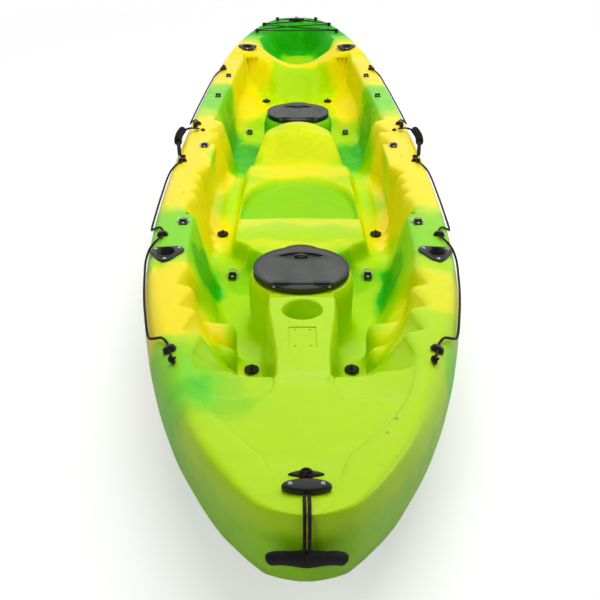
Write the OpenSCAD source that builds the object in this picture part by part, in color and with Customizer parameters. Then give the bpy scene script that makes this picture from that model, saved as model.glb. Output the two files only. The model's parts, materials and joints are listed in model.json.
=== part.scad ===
// Tandem sit-on-top kayak: bow towards -y, stern towards +y, keel on z = 0
$fn = 48;

/* [Hull] */
// Overall length of the hull
length = 3700; // [3500:10:4000]
// Greatest beam of the hull
beam = 860; // [820:5:900]
// Height of the side decks amidships
side_deck_z = 300; // [290:1:315]
// Height of the bow deck at its tip
bow_deck_z = 302; // [292:1:315]
// Height of the stern deck at its end
stern_deck_z = 400; // [385:1:415]
// Depth of the two channels between the keel and the side runs
keel_channel = 18; // [8:1:24]
// Thickness of the moulded wall
wall = 4.5; // [4:0.5:6]

/* [Cockpit] */
// Where the front footwells begin, behind the bow deck
footwell_y = -1425; // [-1445:1:-1405]
// Floor of the front footwells
front_floor_z = 86; // [75:1:100]
// Floor of the rear footwells
rear_floor_z = 105; // [90:1:120]
// Top of the console between the front footwells
console_z = 266; // [255:1:275]
// Width of the console at its narrow forward end
console_nose_w = 114; // [100:1:130]
// Width of the console beside the cup holder
console_w = 160; // [145:1:175]
// Front edge of the middle seat
seat_front_y = -510; // [-525:1:-495]
// Height of the middle seat
seat_z = 177; // [165:1:190]
// Width of the middle seat
seat_w = 396; // [370:2:420]
// Depth of the dish in the middle seat
seat_dish = 38; // [20:1:50]
// Top of the backrest hump behind the middle seat
hump_z = 296; // [280:1:305]
// Floor of the rear seat
rear_seat_z = 150; // [135:1:165]
// Height of the ridge behind the rear seat, on the centreline
ridge_z = 268; // [255:1:285]
// Floor of the cargo well
cargo_floor_z = 250; // [235:1:265]

/* [Hatches] */
// Centre of the front hatch
front_hatch_y = -890; // [-900:1:-880]
// Centre of the rear hatch
rear_hatch_y = 540; // [530:1:550]
// Width of the moulded pedestal under each hatch
pedestal_d = 262; // [256:1:270]
// Height of the pedestal tops
pedestal_z = 251; // [246:1:256]

/* [Foot braces] */
// How far the front braces stand into the footwell
front_brace = 42; // [25:1:50]
// How far the middle braces stand out
mid_brace = 24; // [10:1:30]
// How far the rear braces stand into the footwell
rear_brace = 42; // [25:1:50]

/* [Hatch] */
// Diameter of the hatch lid and its ring
hatch_d = 250; // [240:1:254]
// Diameter of the hatch opening
mouth_d = 180; // [165:1:190]
// Outside diameter of the ring's neck in the hull
neck_d = 200; // [190:1:205]
// Thickness of the lid
lid_t = 10; // [8:0.5:12]
// Diameter of the hinge pins
pin_d = 4; // [3:0.5:5]

/* [Rod holders] */
// Bore of the rod holders
rod_bore = 45; // [38:1:48]
// Length of the rod holder tubes
rod_l = 180; // [120:5:200]
// Rake of the tubes towards the stern
rod_rake = 22; // [10:1:30]
// Lean of the tubes away from the centreline
rod_lean = 6; // [0:1:12]
// Width of the rod holder flange
rod_flange = 90; // [86:1:96]

/* [Small fittings] */
// Bore of the scupper tubes
scupper_d = 28; // [24:1:32]
// Diameter of the scupper plug heads
plug_head = 36; // [34:1:40]
// Diameter of the cup holder
cup_d = 95; // [80:1:100]
// Depth of the cup holder
cup_deep = 70; // [40:1:100]
// Width of the pad-eye plates
pad_w = 50; // [48:1:54]
// Inside half width of the D-rings
ring_r = 12.5; // [12.5:0.1:13]
// Thickness of the elastic deck lines
line_d = 6; // [4:0.5:8]
// Thickness of the cargo bungee
bungee_d = 5; // [4:0.5:6]
// Thickness of the toggle cords
toggle_d = 6; // [4:0.5:7]
// Length of the toggle grips
grip_w = 130; // [110:1:160]
// Radius of the toggle grips
grip_r = 12; // [9:0.5:14]
// Diameter of the side handle grips
handle_d = 26; // [20:1:32]
// Bore of the drain
drain_bore = 18; // [14:1:22]

/* [Hidden] */
// Clearances and seats
fit = 0.75;
seat_gap = 0.8;
gasket_t = 1.5;
// Hatch levels, from the pedestal top
seal_t = 1.5;
flange_t = 5;
neck_l = 26;
lid_gap = 0.6;
chord_gap = 1.4;
lid_z = seal_t + flange_t + 0.3;
lid_plate = 7;
recess = 4.5;
spigot_l = 5;
spigot_fit = 3;
tab_r = 60;
tab_out = 12;
hinge_y = -hatch_d / 2 + 21;
hinge_z = lid_z + lid_t / 2;
hinge_x = 53;
chord_y = hinge_y + 7;
knuckle_w = 22;
knuckle_r = 4.5;
hinge_play = 0.8;
pin_play = 0.1;
swing_room = 3;
beyond = 40;
cheek = 9;
latch_y = 66;
shaft_r = 5;
cam_t = 4;
cam_z = -5;
cam_l = 30;
cam_w = 12;
knob_r = 13;
wing_l = 34;
wing_w = 8;
wing_rise = 2;
recess_w = 60;
recess_l = 19;
// Places on the hull, as [x or inset from the gunwale, y], with the hooks' lift off the curved deck
RODS = [[57, -877], [85, 1353]];
SCUPPERS = [[124, -1104], [252, -300], [145, 1113]];
FLOOR_RINGS = [[201, -610], [210, 770]];
DECK_RINGS = [[93, -677], [98, -15]];
DECK_EYES = [[76, 626], [81, 924]];
FRONT_LINE = [-1340, -761, -167];
REAR_LINE = [238, 1017];
HOOKS = [[50, 1605, 0.8], [36, 1706, 1.5], [50, 1785, 0.2]];
ANCHORS = [[40, -121], [71, 165]];
cup_y = -1112;
plate_y = -1242;
plate_w = 63;
plate_l = 92;
plate_deep = 2;
dimple_x = 34;
dimple_y = 74;
dimple_r = 3;
dimple_deep = 1.5;
rod_wall = 3;
rod_d = rod_bore + 2 * rod_wall;
rod_flange_t = 5;
rod_sunk = 2.2;
gasket_z = 0.2;
plug_l = 45;
plug_head_t = 5;
plug_taper = 6;
loop_r = 9;
loop_wire = 3;
pad_t = 3;
pad_l = 26;
pad_screw = 39;
screw_r = 2;
screw_head_r = 3.5;
screw_head_t = 2.2;
screw_l = 2.6;
eye_r = 7.5;
eye_wire = 2.2;
ring_wire = 2;
ring_z = pad_t + ring_wire + 0.4;
line_inset = 42;
line_rise = 7;
line_off = 5;
line_up = 6;
line_hold = 20;
line_run = 60;
line_hump = 11;
knot_grow = 2.1;
tail_l = 42;
knot_l = 22;
saddle_w = 30;
saddle_h = 13;
fore_saddle_lift = 1.2;
saddle_r = 8;
saddle_play = 2.4;
bungee_rise = 10;
hook_post = 12;
hook_base = 16;
hook_head = 18;
hook_plate = 3;
wrap_play = 1.5;
bracket_in = 60;
bracket_w = 83;
bracket_l = 30;
bracket_h = 11;
bracket_screw = 58;
bracket_gap = 1.2;
pad_in = 100;
bow_pad_w = 60;
bow_pad_r = 10;
bow_eye_r = 9;
bow_eye_wire = 3;
knot_in = 24;
knot_up = 3;
knot_gap = 1;
cord_pair = 4;
grip_off = 18;
grip_drop = 82;
grip_taper = 0.18;
grip_round = 0.15;
cord_z = toggle_d / 2 + 0.5;
knot_d = toggle_d * 1.8;
grip_y = [0, 130];
handle_out = -4;
handle_up = 14;
handle_bow = 5;
strap_in = 12;
strap_rise = 6;
strap_d = 9;
anchor_d = 16;
anchor_h = 7;
drain_d = 26;
drain_flange = 4;
drain_rim = 14;
drain_tube = 24;
drain_head_t = 6;
drain_slot = 3;
drain_z = 278;
bow_y = -length / 2;
stern_y = length / 2;
wide_y = -150;
nose_over = 15;
tail_over = 18;
nose_round = 26;
nose_full = 26;
FRONT_TEETH = [-1040, 107, 3, front_brace];
MID_TEETH = [-277, 80, 3, mid_brace];
REAR_TEETH = [300, 145, 2, rear_brace];
tooth_face = 0.12;
lip_wall = 2.4;

function smooth(t) = let (c = min(1, max(0, t))) c * c * (3 - 2 * c);
function mix(a, b, t) = a + (b - a) * t;
// Value of a table of [y, value] rows at y, eased between rows
function profile(table, y, i = 0) =
    y <= table[i][0] || i == len(table) - 1 ? table[i][1] :
    y < table[i + 1][0] ? mix(table[i][1], table[i + 1][1],
        smooth((y - table[i][0]) / (table[i + 1][0] - table[i][0]))) :
    profile(table, y, i + 1);
function slope_profile(table, y, i = 0) =
    y <= table[i][0] || i == len(table) - 1 ? table[i][1] :
    y < table[i + 1][0] ? mix(table[i][1], table[i + 1][1],
        (y - table[i][0]) / (table[i + 1][0] - table[i][0])) :
    slope_profile(table, y, i + 1);

// Plan outline: greatest half breadth at y
function half_beam(y) =
    y < wide_y ?
    let (s = (wide_y - y) / (wide_y - bow_y + nose_over), tip = 1 - min(1, (y - bow_y) / nose_round))
        (beam / 2 * pow(max(0, 1 - pow(s, 3)), 0.7) + nose_full * pow(s, 12)) * sqrt(1 - 0.75 * tip * tip) :
    let (s = (y - wide_y) / (stern_y - wide_y + tail_over))
        beam / 2 * (1 - 0.12 * s) * sqrt(max(0, 1 - pow(s, 4)));
function panel_edge(y) =
    let (s = (wide_y - y) / (wide_y - bow_y - 85))
        max(0.45 * (half_beam(y) - crest_inset(y)), 0.763 * beam / 2 * pow(max(0, 1 - pow(s, 3)), 0.7));
function panel_drop(y) = 7 * smooth((y - bow_y - 70) / 90);
function sheer(y) = slope_profile([
    [bow_y, bow_deck_z], [footwell_y, side_deck_z - 10], [-900, side_deck_z - 4], [0, side_deck_z],
    [700, side_deck_z + 5], [950, side_deck_z + 15], [1370, side_deck_z + 50],
    [1600, stern_deck_z - 30], [stern_y - 60, stern_deck_z - 3], [stern_y, stern_deck_z]], y);
function keel(y) = slope_profile([
    [bow_y, 165], [bow_y + 20, 135], [bow_y + 60, 98], [bow_y + 150, 55], [bow_y + 350, 16],
    [bow_y + 600, 0], [stern_y - 950, 0], [stern_y - 550, 12], [stern_y - 250, 62], [stern_y - 90, 135],
    [stern_y - 30, 195], [stern_y, 250]], y);
function flatness(y) = min(smooth((y - bow_y - 250) / 500), smooth((stern_y - 500 - y) / 600));
function seam_z(y) = mix(keel(y), sheer(y), 0.78) - 10;
function crest_inset(y) = profile([
    [bow_y, 6], [bow_y + 150, 12], [footwell_y, 36], [-1000, 24], [1300, 22], [stern_y, 10]], y);

function tooth(y, set, i = 0) =
    i == set[2] ? 0 :
    let (t = (set[0] - i * set[1] - y) / set[1])
    t > 0 && t <= 1 ? set[3] * (t < tooth_face ? t / tooth_face : (1 - t) / (1 - tooth_face)) :
    tooth(y, set, i + 1);
function braces(y) = tooth(y, FRONT_TEETH) + tooth(y, MID_TEETH) + tooth(y, REAR_TEETH);
function rim_inset(y) = slope_profile([
    [footwell_y + 25, 72], [-1355, 80], [-1040, 82], [-940, 112], [-640, 118], [-605, 116], [-590, 92],
    [-277, 92], [-200, 130], [8, 130], [24, 90], [300, 92], [400, 98],
    [760, 100], [775, 106], [1180, 100]], y);
function round_half(y, centre) = sqrt(max(0, pow(pedestal_d / 2, 2) - pow(y - centre, 2)));

// Centre block: console, pedestals, seat and hump
function spine_z(y) = profile([
    [footwell_y - 55, 287], [footwell_y + 25, console_z + 1], [front_hatch_y - 165, console_z],
    [front_hatch_y - 128, pedestal_z], [front_hatch_y + 128, pedestal_z], [-690, 192], [-640, seat_z + 2],
    [seat_front_y, seat_z], [45, seat_z + 3], [62, seat_z + 9], [116, seat_z + 13], [268, hump_z - 8],
    [300, hump_z], [345, hump_z - 2], [395, pedestal_z], [rear_hatch_y + 128, pedestal_z],
    [720, rear_seat_z + 30], [800, rear_seat_z]], y);
function dish(y) = profile([
    [-392, 0], [-365, seat_dish * 0.6], [-200, seat_dish], [-50, seat_dish * 0.9], [48, 0],
    [880, 0], [980, 15], [1150, 18], [1250, 0]], y);
function dish_half(y) = profile([[-400, 186], [-200, 182], [-60, 150], [48, 80], [880, 80], [1180, 70]], y);
function block_half(y) = max(profile([
    [footwell_y + 85, console_nose_w / 2], [front_hatch_y - 160, console_w / 2], [-1000, console_w / 2],
    [-960, 100], [-640, 100], [-565, 150], [seat_front_y, seat_w / 2], [45, seat_w / 2 - 12],
    [108, seat_w / 2 - 18], [122, 160], [270, 132], [330, 126], [400, 70], [690, 70],
    [800, 100], [1250, 90]], y),
    round_half(y, front_hatch_y), round_half(y, rear_hatch_y));
function crown(y) = profile([[116, 0], [230, 30], [300, 34], [345, 30], [395, 0]], y);
function floor_z(y) = profile([
    [footwell_y, front_floor_z + 2], [front_hatch_y, front_floor_z], [-640, front_floor_z + 8],
    [-530, front_floor_z + 32], [-430, front_floor_z + 16], [-300, front_floor_z + 8], [0, 120], [106, 140],
    [118, 140], [142, rear_floor_z], [790, rear_floor_z], [860, rear_seat_z]], y);
function wall_foot(y) = profile([
    [footwell_y + 25, 150], [-1104, 182], [-911, 206], [-687, 246], [seat_front_y, 276],
    [-300, 302], [0, 296],
    [118, 280], [300, 262], [800, 262], [920, 274], [1180, 255]], y) - 0.8 * braces(y);
function bank(y) = profile([[820, 0], [930, 62], [1180, 80]], y);
function draft(y) = profile([
    [-1000, 16], [-960, 8], [-700, 10], [seat_front_y, 16], [108, 16], [270, 26], [400, 8]], y);

// Stern: seat back, ridge, cargo well and stern deck
function stern_edge(y) = slope_profile([
    [1180, 235], [1372, 212], [1430, 212], [stern_y - 250, 158], [stern_y - 130, 95], [stern_y - 90, 60],
    [stern_y, 25]], y);
function stern_mid(y) = profile([
    [1180, rear_seat_z], [1300, 212], [1365, ridge_z], [1385, ridge_z - 2], [1440, cargo_floor_z],
    [1650, cargo_floor_z + 5], [1740, stern_deck_z - 5],
    [stern_y - 70, stern_deck_z - 3], [stern_y, stern_deck_z - 1]], y);
function stern_flat(y) = profile([
    [1180, 0.55], [1300, 0.2], [1372, 0.0], [1440, 0.42], [1600, 0.3], [1700, 0.2]], y);

SPREAD = [0, 0.22, 0.42, 0.56, 0.62, 0.7, 0.82, 0.9, 0.96, 1];
LIP_SLANT = [0, 0, 0, 0, 8, 10, 18, 26, 56, 66];
LIP_RUN = [150, 150, 150, 60, 42, 42, 42, 42, 42, 42];

function bow_point(k, y) =
    let (meet = smooth((y - footwell_y + 280) / 220),
         lip_y = footwell_y + 60, narrow = min(1, half_beam(y) / half_beam(lip_y)),
         x = mix(SPREAD[k] * panel_edge(y), narrow * cockpit_point(k, max(y, lip_y))[0], meet),
         crown = 3 * (1 - pow(SPREAD[k], 2)))
    [x, sheer(y) + crown - (k == 9 ? 0 : panel_drop(y)) - lip_dip(k, y)];
function lip_dip(k, y) = k < 3 || k > 7 ? 0 : 10 * smooth((y - footwell_y + 120) / 120);
function stern_point(k, y) =
    let (low = stern_mid(y), u = SPREAD[k])
    [u * stern_edge(y), mix(low, sheer(y), smooth((u - stern_flat(y)) / (1 - stern_flat(y))))];
function cockpit_point(k, y) =
    let (top = spine_z(y), b = block_half(y), f = floor_z(y), w = wall_foot(y), d = dish(y),
         flare = draft(y), rim = half_beam(y) - rim_inset(y) - braces(y), deck = sheer(y),
         tall = top - f, r = min(10, max(0.5, tall * 0.3)), round = max(0.6 * r, crown(y)),
         dish_in = min(0.84 * b, dish_half(y)))
    k == 0 ? [0, top - d] :
    k == 1 ? [0.62 * dish_in, top - 0.8 * d - 0.15 * round] :
    k == 2 ? [dish_in, top - 0.45 * round] :
    k == 3 ? [b, top - round] :
    k == 4 ? [b + flare - 1, f + r] :
    k == 5 ? [b + flare + 12, f] :
    k == 6 ? [w - 12 - 1.1 * bank(y), f] :
    k == 7 ? [w + 4 - 0.25 * bank(y), f + 14 + 0.55 * bank(y)] :
    k == 8 ? [rim - 5, deck - 16] :
    [rim + 6, deck];
function top_point(k, y) =
    let (into = smooth((y - footwell_y - LIP_SLANT[k] + (LIP_RUN[k] - 42) * 0.7) / LIP_RUN[k]),
         out = smooth((y - 1180) / 110),
         a = into < 1 ? bow_point(k, y) : [0, 0], b = into > 0 && out < 1 ? cockpit_point(k, y) : [0, 0],
         c = out > 0 ? stern_point(k, y) : [0, 0])
    mix(mix(a, b, into), c, out);
function side_points(y) =
    let (b = half_beam(y), inset = crest_inset(y), deck = sheer(y), g = seam_z(y), k = keel(y),
         w = flatness(y),
         rim = top_point(9, y)[0], crest = b - inset, rise = g - k, dead = (1 - w) * rise)
    [[mix(rim, crest, 0.5), deck + 2], [crest, deck - 2], [b - 0.3 * inset, mix(g, deck, 0.62)], [b, g],
     [0.965 * b, k + 0.55 * rise], [0.87 * b, k + 0.27 * rise + 0.06 * dead],
     [0.73 * b, k + 0.08 * rise + 0.10 * dead],
     [0.61 * b, k + 0.09 * dead], [0.46 * b, k + 0.05 * dead], [0.28 * b, k + keel_channel * w + 0.02 * dead],
     [min(22, 0.12 * b), k], [0, k]];
function half_section(y) = concat([for (k = [0:9]) top_point(k, y)], side_points(y));

// Stations: closer where the shape turns quickly
function steps(a, b, n) = [for (i = [0:n - 1]) mix(a, b, i / n)];
function tooth_stations(set) = [for (i = [0:set[2] - 1]) for (t = [0, tooth_face]) set[0] - (i + t) * set[1]];
function round_stations(centre) = [for (a = [20:35:160]) centre - pedestal_d / 2 * cos(a)];
function sorted(v) = len(v) <= 1 ? v :
    let (p = v[floor(len(v) / 2)])
    concat(sorted([for (a = v) if (a < p) a]), [for (a = v) if (a == p) a],
        sorted([for (a = v) if (a > p) a]));
function spaced(v, gap, i = 0, out = []) =
    i == len(v) ? out :
    spaced(v, gap, i + 1, len(out) > 0 && v[i] - out[len(out) - 1] < gap ? out : concat(out, [v[i]]));
STATIONS = spaced(sorted(concat(
    [for (d = [0, 8, 24, 60, 120]) bow_y + d], steps(bow_y + 200, footwell_y - 20, 3),
    steps(footwell_y, footwell_y + 110, 4), tooth_stations(FRONT_TEETH), round_stations(front_hatch_y),
    [-700, -645, -606, -589, -530, -500, -450, -370, -200, -50, 8, 24, 52, 100, 118, 142],
    tooth_stations(MID_TEETH),
    tooth_stations(REAR_TEETH), [270, 300, 345, 390], round_stations(rear_hatch_y),
    [700, 760, 775, 800, 860, 930, 1060, 1180, 1230, 1290, 1340, 1372, 1395, 1440, 1540, 1640, 1700, 1745],
    [for (d = [60, 30, 10, 0]) stern_y - d])), 7);

// Lofted skin through half sections, mirrored about the centreline
function whole(half) = concat(half, [for (i = [len(half) - 2:-1:1]) [-half[i][0], half[i][1], half[i][2]]]);
module loft(halves) {
    rings = [for (h = halves) whole(h)];
    n = len(rings[0]);
    m = len(rings);
    ends = [for (e = [0, m - 1]) (rings[e][0] + rings[e][n / 2]) / 2];
    sides = [for (i = [0:m - 2]) for (j = [0:n - 1])
        let (a = i * n + j, b = i * n + (j + 1) % n, c = a + n, d = b + n) each [[a, d, b], [a, c, d]]];
    caps = [for (j = [0:n - 1]) let (k = (j + 1) % n, last = (m - 1) * n)
        each [[m * n, j, k], [m * n + 1, last + k, last + j]]];
    polyhedron(concat([for (r = rings) each r], ends), concat(sides, caps), convexity = 12);
}
function unit(v) = v / norm(v);
function station_points(y) = [for (p = half_section(y)) [p[0], y, p[1]]];
// A skin point moved one wall inwards along the surface normal
function inner_point(grid, i, k) =
    let (row = grid[i], last = len(row) - 1, flip = [-1, 1, 1],
         before = k == 0 ? [for (a = [0:2]) row[1][a] * flip[a]] : row[k - 1],
         after = k == last ? [for (a = [0:2]) row[last - 1][a] * flip[a]] : row[k + 1],
         thick = wall * (abs(row[k][1] - footwell_y - 35) < 60 ? lip_wall : 1),
         p = row[k] - thick * unit(cross(after - before, grid[i + 1][k] - grid[i - 1][k])))
    k == 0 || k == last ? [0, p[1], p[2]] : p;
VOID_LINES = [0, 1, 2, 3, 4, 5, 6, 7, 8, 9, 11, 13, 15, 17, 19, 21];
module hull_void() {
    grid = [for (y = STATIONS) station_points(y)];
    loft([for (i = [4:len(STATIONS) - 4]) [for (k = VOID_LINES) inner_point(grid, i, k)]]);
}
// Height of the moulded top at x, y, on the same flat facets as the skin
function polyline_z(line, x, i = 0) =
    i == len(line) - 2 || x <= line[i + 1][0] ?
    let (a = line[i], b = line[i + 1], run = b[0] - a[0])
        mix(a[1], b[1], run < 0.01 ? 1 : min(1, max(0, (x - a[0]) / run))) :
    polyline_z(line, x, i + 1);
function top_line(y) = let (h = half_section(y)) [for (i = [0:13]) h[i]];
function station_below(y, i = 0) =
    i >= len(STATIONS) - 2 || STATIONS[i + 1] > y ? i : station_below(y, i + 1);
function deck_z(x, y) =
    let (i = station_below(y), a = STATIONS[i], b = STATIONS[i + 1])
    mix(polyline_z(top_line(a), abs(x)), polyline_z(top_line(b), abs(x)), (y - a) / (b - a));
function deck_normal(x, y, reach) = unit(cross(
    [2 * reach, 0, deck_z(x + reach, y) - deck_z(x - reach, y)],
    [0, 2 * reach, deck_z(x, y + reach) - deck_z(x, y - reach)]));
function deck_frame(x, y, reach) =
    let (n = deck_normal(x, y, reach), across = unit(cross([0, 1, 0], n)), along = cross(n, across),
         at = [x, y, deck_z(x, y)] + seat_gap * n)
    [for (i = [0:2]) [across[i], along[i], n[i], at[i]]];
function above_deck(x, y, h, reach = 16) =
    let (n = deck_normal(x, y, reach))
    [x, y, deck_z(x, y)] + (seat_gap + h) * n;
module on_deck(x, y, reach = 16) multmatrix(concat(deck_frame(x, y, reach), [[0, 0, 0, 1]])) children();
module on_gunwale(p, reach = 16) on_deck(half_beam(p[1]) - p[0], p[1], reach) children();
module starboard(flip = true) {
    if (flip) mirror([1, 0, 0]) children();
    else children();
}
module both_sides() {
    children();
    mirror([1, 0, 0]) children();
}
module stadium(span, r) {
    square([span - 2 * r, 2 * r], center = true);
    for (s = [-1, 1]) translate([s * (span / 2 - r), 0]) circle(r);
}
// Round cord through a list of points, as one closed tube
module cord(points, d, up, n = 8) {
    last = len(points) - 1;
    tangents = [for (i = [0:last]) unit(points[min(last, i + 1)] - points[max(0, i - 1)])];
    rings = [for (i = [0:last])
        let (side = unit(cross(tangents[i], up)), top = cross(side, tangents[i]))
        [for (k = [0:n - 1]) points[i] + d / 2 * (cos(k * 360 / n) * side + sin(k * 360 / n) * top)]];
    walls = [for (i = [0:last - 1]) for (k = [0:n - 1])
        let (a = i * n + k, b = i * n + (k + 1) % n) each [[a, b, b + n], [a, b + n, a + n]]];
    ends = [for (k = [1:n - 2]) each [[0, k + 1, k], [last * n, last * n + k, last * n + k + 1]]];
    polyhedron([for (r = rings) each r], concat(walls, ends), convexity = 6);
}
// The same cord closed on itself
module cord_loop(points, d, up, n = 8) {
    m = len(points);
    rings = [for (i = [0:m - 1])
        let (along = unit(points[(i + 1) % m] - points[(i + m - 1) % m]), side = unit(cross(along, up)),
             top = cross(side, along))
        [for (k = [0:n - 1]) points[i] + d / 2 * (cos(k * 360 / n) * side + sin(k * 360 / n) * top)]];
    polyhedron([for (r = rings) each r], [for (i = [0:m - 1]) for (k = [0:n - 1])
        let (next = (i + 1) % m * n, turn = (k + 1) % n, a = i * n + k, b = i * n + turn, c = next + turn,
             e = next + k)
        each [[a, b, c], [a, c, e]]], convexity = 6);
}

// Hull
module scupper_holes(d) both_sides() for (p = SCUPPERS)
    translate([p[0], p[1], -10]) cylinder(d = d, h = 300);
module rod_seat(p) on_gunwale(p, 24) translate([0, 0, -rod_sunk]) children();
module rod_axis(p) rod_seat(p) rotate([-rod_rake, rod_lean, 0]) children();
module rod_flange_outline(grow = 0) hull() for (c = [[-1, 1], [1, 1], [0, -1.5]])
    translate([c[0] * rod_flange / 3.5, c[1] * rod_flange / 4.5]) circle(rod_flange / 4.5 + grow, $fn = 32);
module hull_skin() {
    difference() {
        loft([for (y = STATIONS) station_points(y)]);
        difference() {
            hull_void();
            scupper_holes(scupper_d + 2 * wall);
            translate([0, cup_y, console_z - cup_deep - wall]) cylinder(d = cup_d + 2 * wall, h = 200);
        }
        scupper_holes(scupper_d);
        translate([0, cup_y, console_z - cup_deep]) cylinder(d = cup_d, h = 200);
        for (y = [front_hatch_y, rear_hatch_y])
            translate([0, y, pedestal_z - 30]) cylinder(d = neck_d + 2 * fit, h = 60);
        translate([-plate_w / 2, plate_y - plate_l / 2, deck_z(0, plate_y) - plate_deep])
            cube([plate_w, plate_l, 30]);
        for (x = [-0.5, 0.5]) for (y = [-0.5, 0.5])
            translate([x * dimple_x, plate_y + y * dimple_y, deck_z(0, plate_y) - plate_deep - dimple_deep])
                cylinder(r = dimple_r, h = 30);
        both_sides() for (p = RODS) {
            rod_axis(p) translate([0, 0, -rod_l - 4]) cylinder(d = rod_d + 2 * fit, h = rod_l + 40);
            rod_seat(p) linear_extrude(30) rod_flange_outline(fit);
        }
        translate([0, stern_y + 10, drain_z]) rotate([90, 0, 0]) cylinder(d = drain_d + 2 * fit, h = 100);
    }
}
module hull_body() color("yellowgreen") hull_skin();

// Hatches, drawn round their own centre with z from the pedestal top
module hatch_seal() color("dimgray") difference() {
    cylinder(d = hatch_d - 10, h = seal_t);
    translate([0, 0, -1]) cylinder(d = neck_d + fit, h = seal_t + 2);
}
module half_plane(y, fore) translate([-hatch_d, fore ? y - 2 * hatch_d : y]) square(2 * hatch_d);
module hinge_line(r, span, x)
    translate([x - span / 2, hinge_y, hinge_z]) rotate([0, 90, 0]) cylinder(r = r, h = span);
module hatch_ring() color("black") difference() {
    union() {
        translate([0, 0, seal_t]) cylinder(d = hatch_d, h = flange_t);
        translate([0, 0, -neck_l]) cylinder(d = neck_d, h = neck_l + seal_t + 1);
        translate([0, 0, seal_t + 1]) linear_extrude(flange_t + lid_t - 2) intersection() {
            circle(d = hatch_d);
            half_plane(chord_y, true);
        }
    }
    translate([0, 0, -neck_l - 1]) cylinder(d = mouth_d, h = 100);
    translate([-cam_l * 0.8, mouth_d / 2 - 10, cam_z - 2]) cube([cam_l * 1.6, 30, cam_t + 3]);
    for (s = [-1, 1]) {
        hinge_line(pin_d / 2 + pin_play, knuckle_w + 2 * cheek, s * hinge_x);
        hinge_line(knuckle_r + hinge_play, knuckle_w + 2 * lid_gap, s * hinge_x);
        translate([s * hinge_x - knuckle_w / 2 - lid_gap, hinge_y - knuckle_r - swing_room, hinge_z])
            cube([knuckle_w + 2 * lid_gap, beyond, beyond]);
        translate([s * hinge_x - knuckle_w / 2 - lid_gap, hinge_y, hinge_z - knuckle_r - hinge_play])
            cube([knuckle_w + 2 * lid_gap, chord_y - hinge_y + 1, beyond]);
    }
}
module lens(half_w, half_l) {
    r = (half_w * half_w + half_l * half_l) / (2 * half_l);
    intersection_for (s = [-1, 1]) translate([0, s * (r - half_l)]) circle(r);
}
module hatch_lid() color("darkslategray") difference() {
    union() {
        translate([0, 0, lid_z]) linear_extrude(lid_t) difference() {
            union() {
                circle(d = hatch_d);
                translate([0, hatch_d / 2 + tab_out - tab_r]) circle(tab_r);
            }
            half_plane(chord_y + chord_gap, true);
        }
        translate([0, 0, lid_z - spigot_l]) cylinder(d = mouth_d - 2 * spigot_fit, h = spigot_l + 1);
        for (s = [-1, 1]) {
            hinge_line(knuckle_r, knuckle_w, s * hinge_x);
            translate([s * hinge_x - knuckle_w / 2, hinge_y, hinge_z - knuckle_r * 0.6])
                cube([knuckle_w, chord_y - hinge_y + 6, knuckle_r * 1.2]);
        }
    }
    translate([0, 0, lid_z - spigot_l - 1])
        cylinder(d = mouth_d - 2 * spigot_fit - 10, h = spigot_l + lid_t - lid_plate + 1);
    translate([0, latch_y, lid_z + lid_t - recess]) linear_extrude(20) lens(recess_w, recess_l);
    translate([0, latch_y, -20]) cylinder(r = shaft_r + 0.3, h = 60);
    for (s = [-1, 1]) hinge_line(pin_d / 2 + 2 * pin_play, knuckle_w + 4, s * hinge_x);
}
module hatch_latch() color("black") translate([0, latch_y, 0]) {
    knob_z = lid_z + lid_t - recess + lid_gap;
    translate([0, 0, knob_z]) cylinder(r = knob_r, h = recess);
    translate([-wing_l / 2, -wing_w / 2, knob_z]) cube([wing_l, wing_w, recess + wing_rise]);
    translate([0, 0, cam_z + 0.5]) cylinder(r = shaft_r, h = knob_z - cam_z);
    translate([-cam_w / 2, -cam_w / 2, cam_z]) cube([cam_l + cam_w / 2, cam_w, cam_t]);
}
module hinge_pins() color("silver")
    for (s = [-1, 1]) hinge_line(pin_d / 2, knuckle_w + 2 * cheek - 2, s * hinge_x);
module at_hatch(front) translate([0, front ? front_hatch_y : rear_hatch_y, pedestal_z]) children();

// Flush rod holders: a three-cornered flange on a raked tube with a closed end
module rod_holder(p) color("black") difference() {
    union() {
        rod_seat(p) translate([0, 0, gasket_z + gasket_t]) linear_extrude(rod_flange_t) rod_flange_outline();
        rod_axis(p) translate([0, 0, -rod_l]) cylinder(d = rod_d, h = rod_l + 20);
    }
    rod_seat(p) translate([-100, -100, gasket_z + gasket_t + rod_flange_t]) cube(200);
    rod_axis(p) translate([0, 0, -rod_l + rod_wall]) cylinder(d = rod_bore, h = rod_l + 60);
}
module rod_gaskets() color("dimgray") both_sides() for (p = RODS) difference() {
    rod_seat(p) translate([0, 0, gasket_z]) linear_extrude(gasket_t) rod_flange_outline(-1);
    rod_axis(p) translate([0, 0, -60]) cylinder(d = rod_d + fit, h = 120);
}

// Scupper plugs: a tapered bung with a flat head and a finger loop
module scupper_plug(p) color("black") translate([p[0], p[1], deck_z(p[0], p[1]) + seat_gap]) {
    cylinder(d = plug_head, h = plug_head_t);
    translate([0, 0, -plug_l])
        cylinder(d1 = scupper_d - plug_taper, d2 = scupper_d - 2 * fit, h = plug_l + 1);
    translate([0, 0, plug_head_t - 1]) rotate([90, 0, 90])
        rotate_extrude(angle = 180) translate([loop_r, 0]) circle(r = loop_wire);
}

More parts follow.
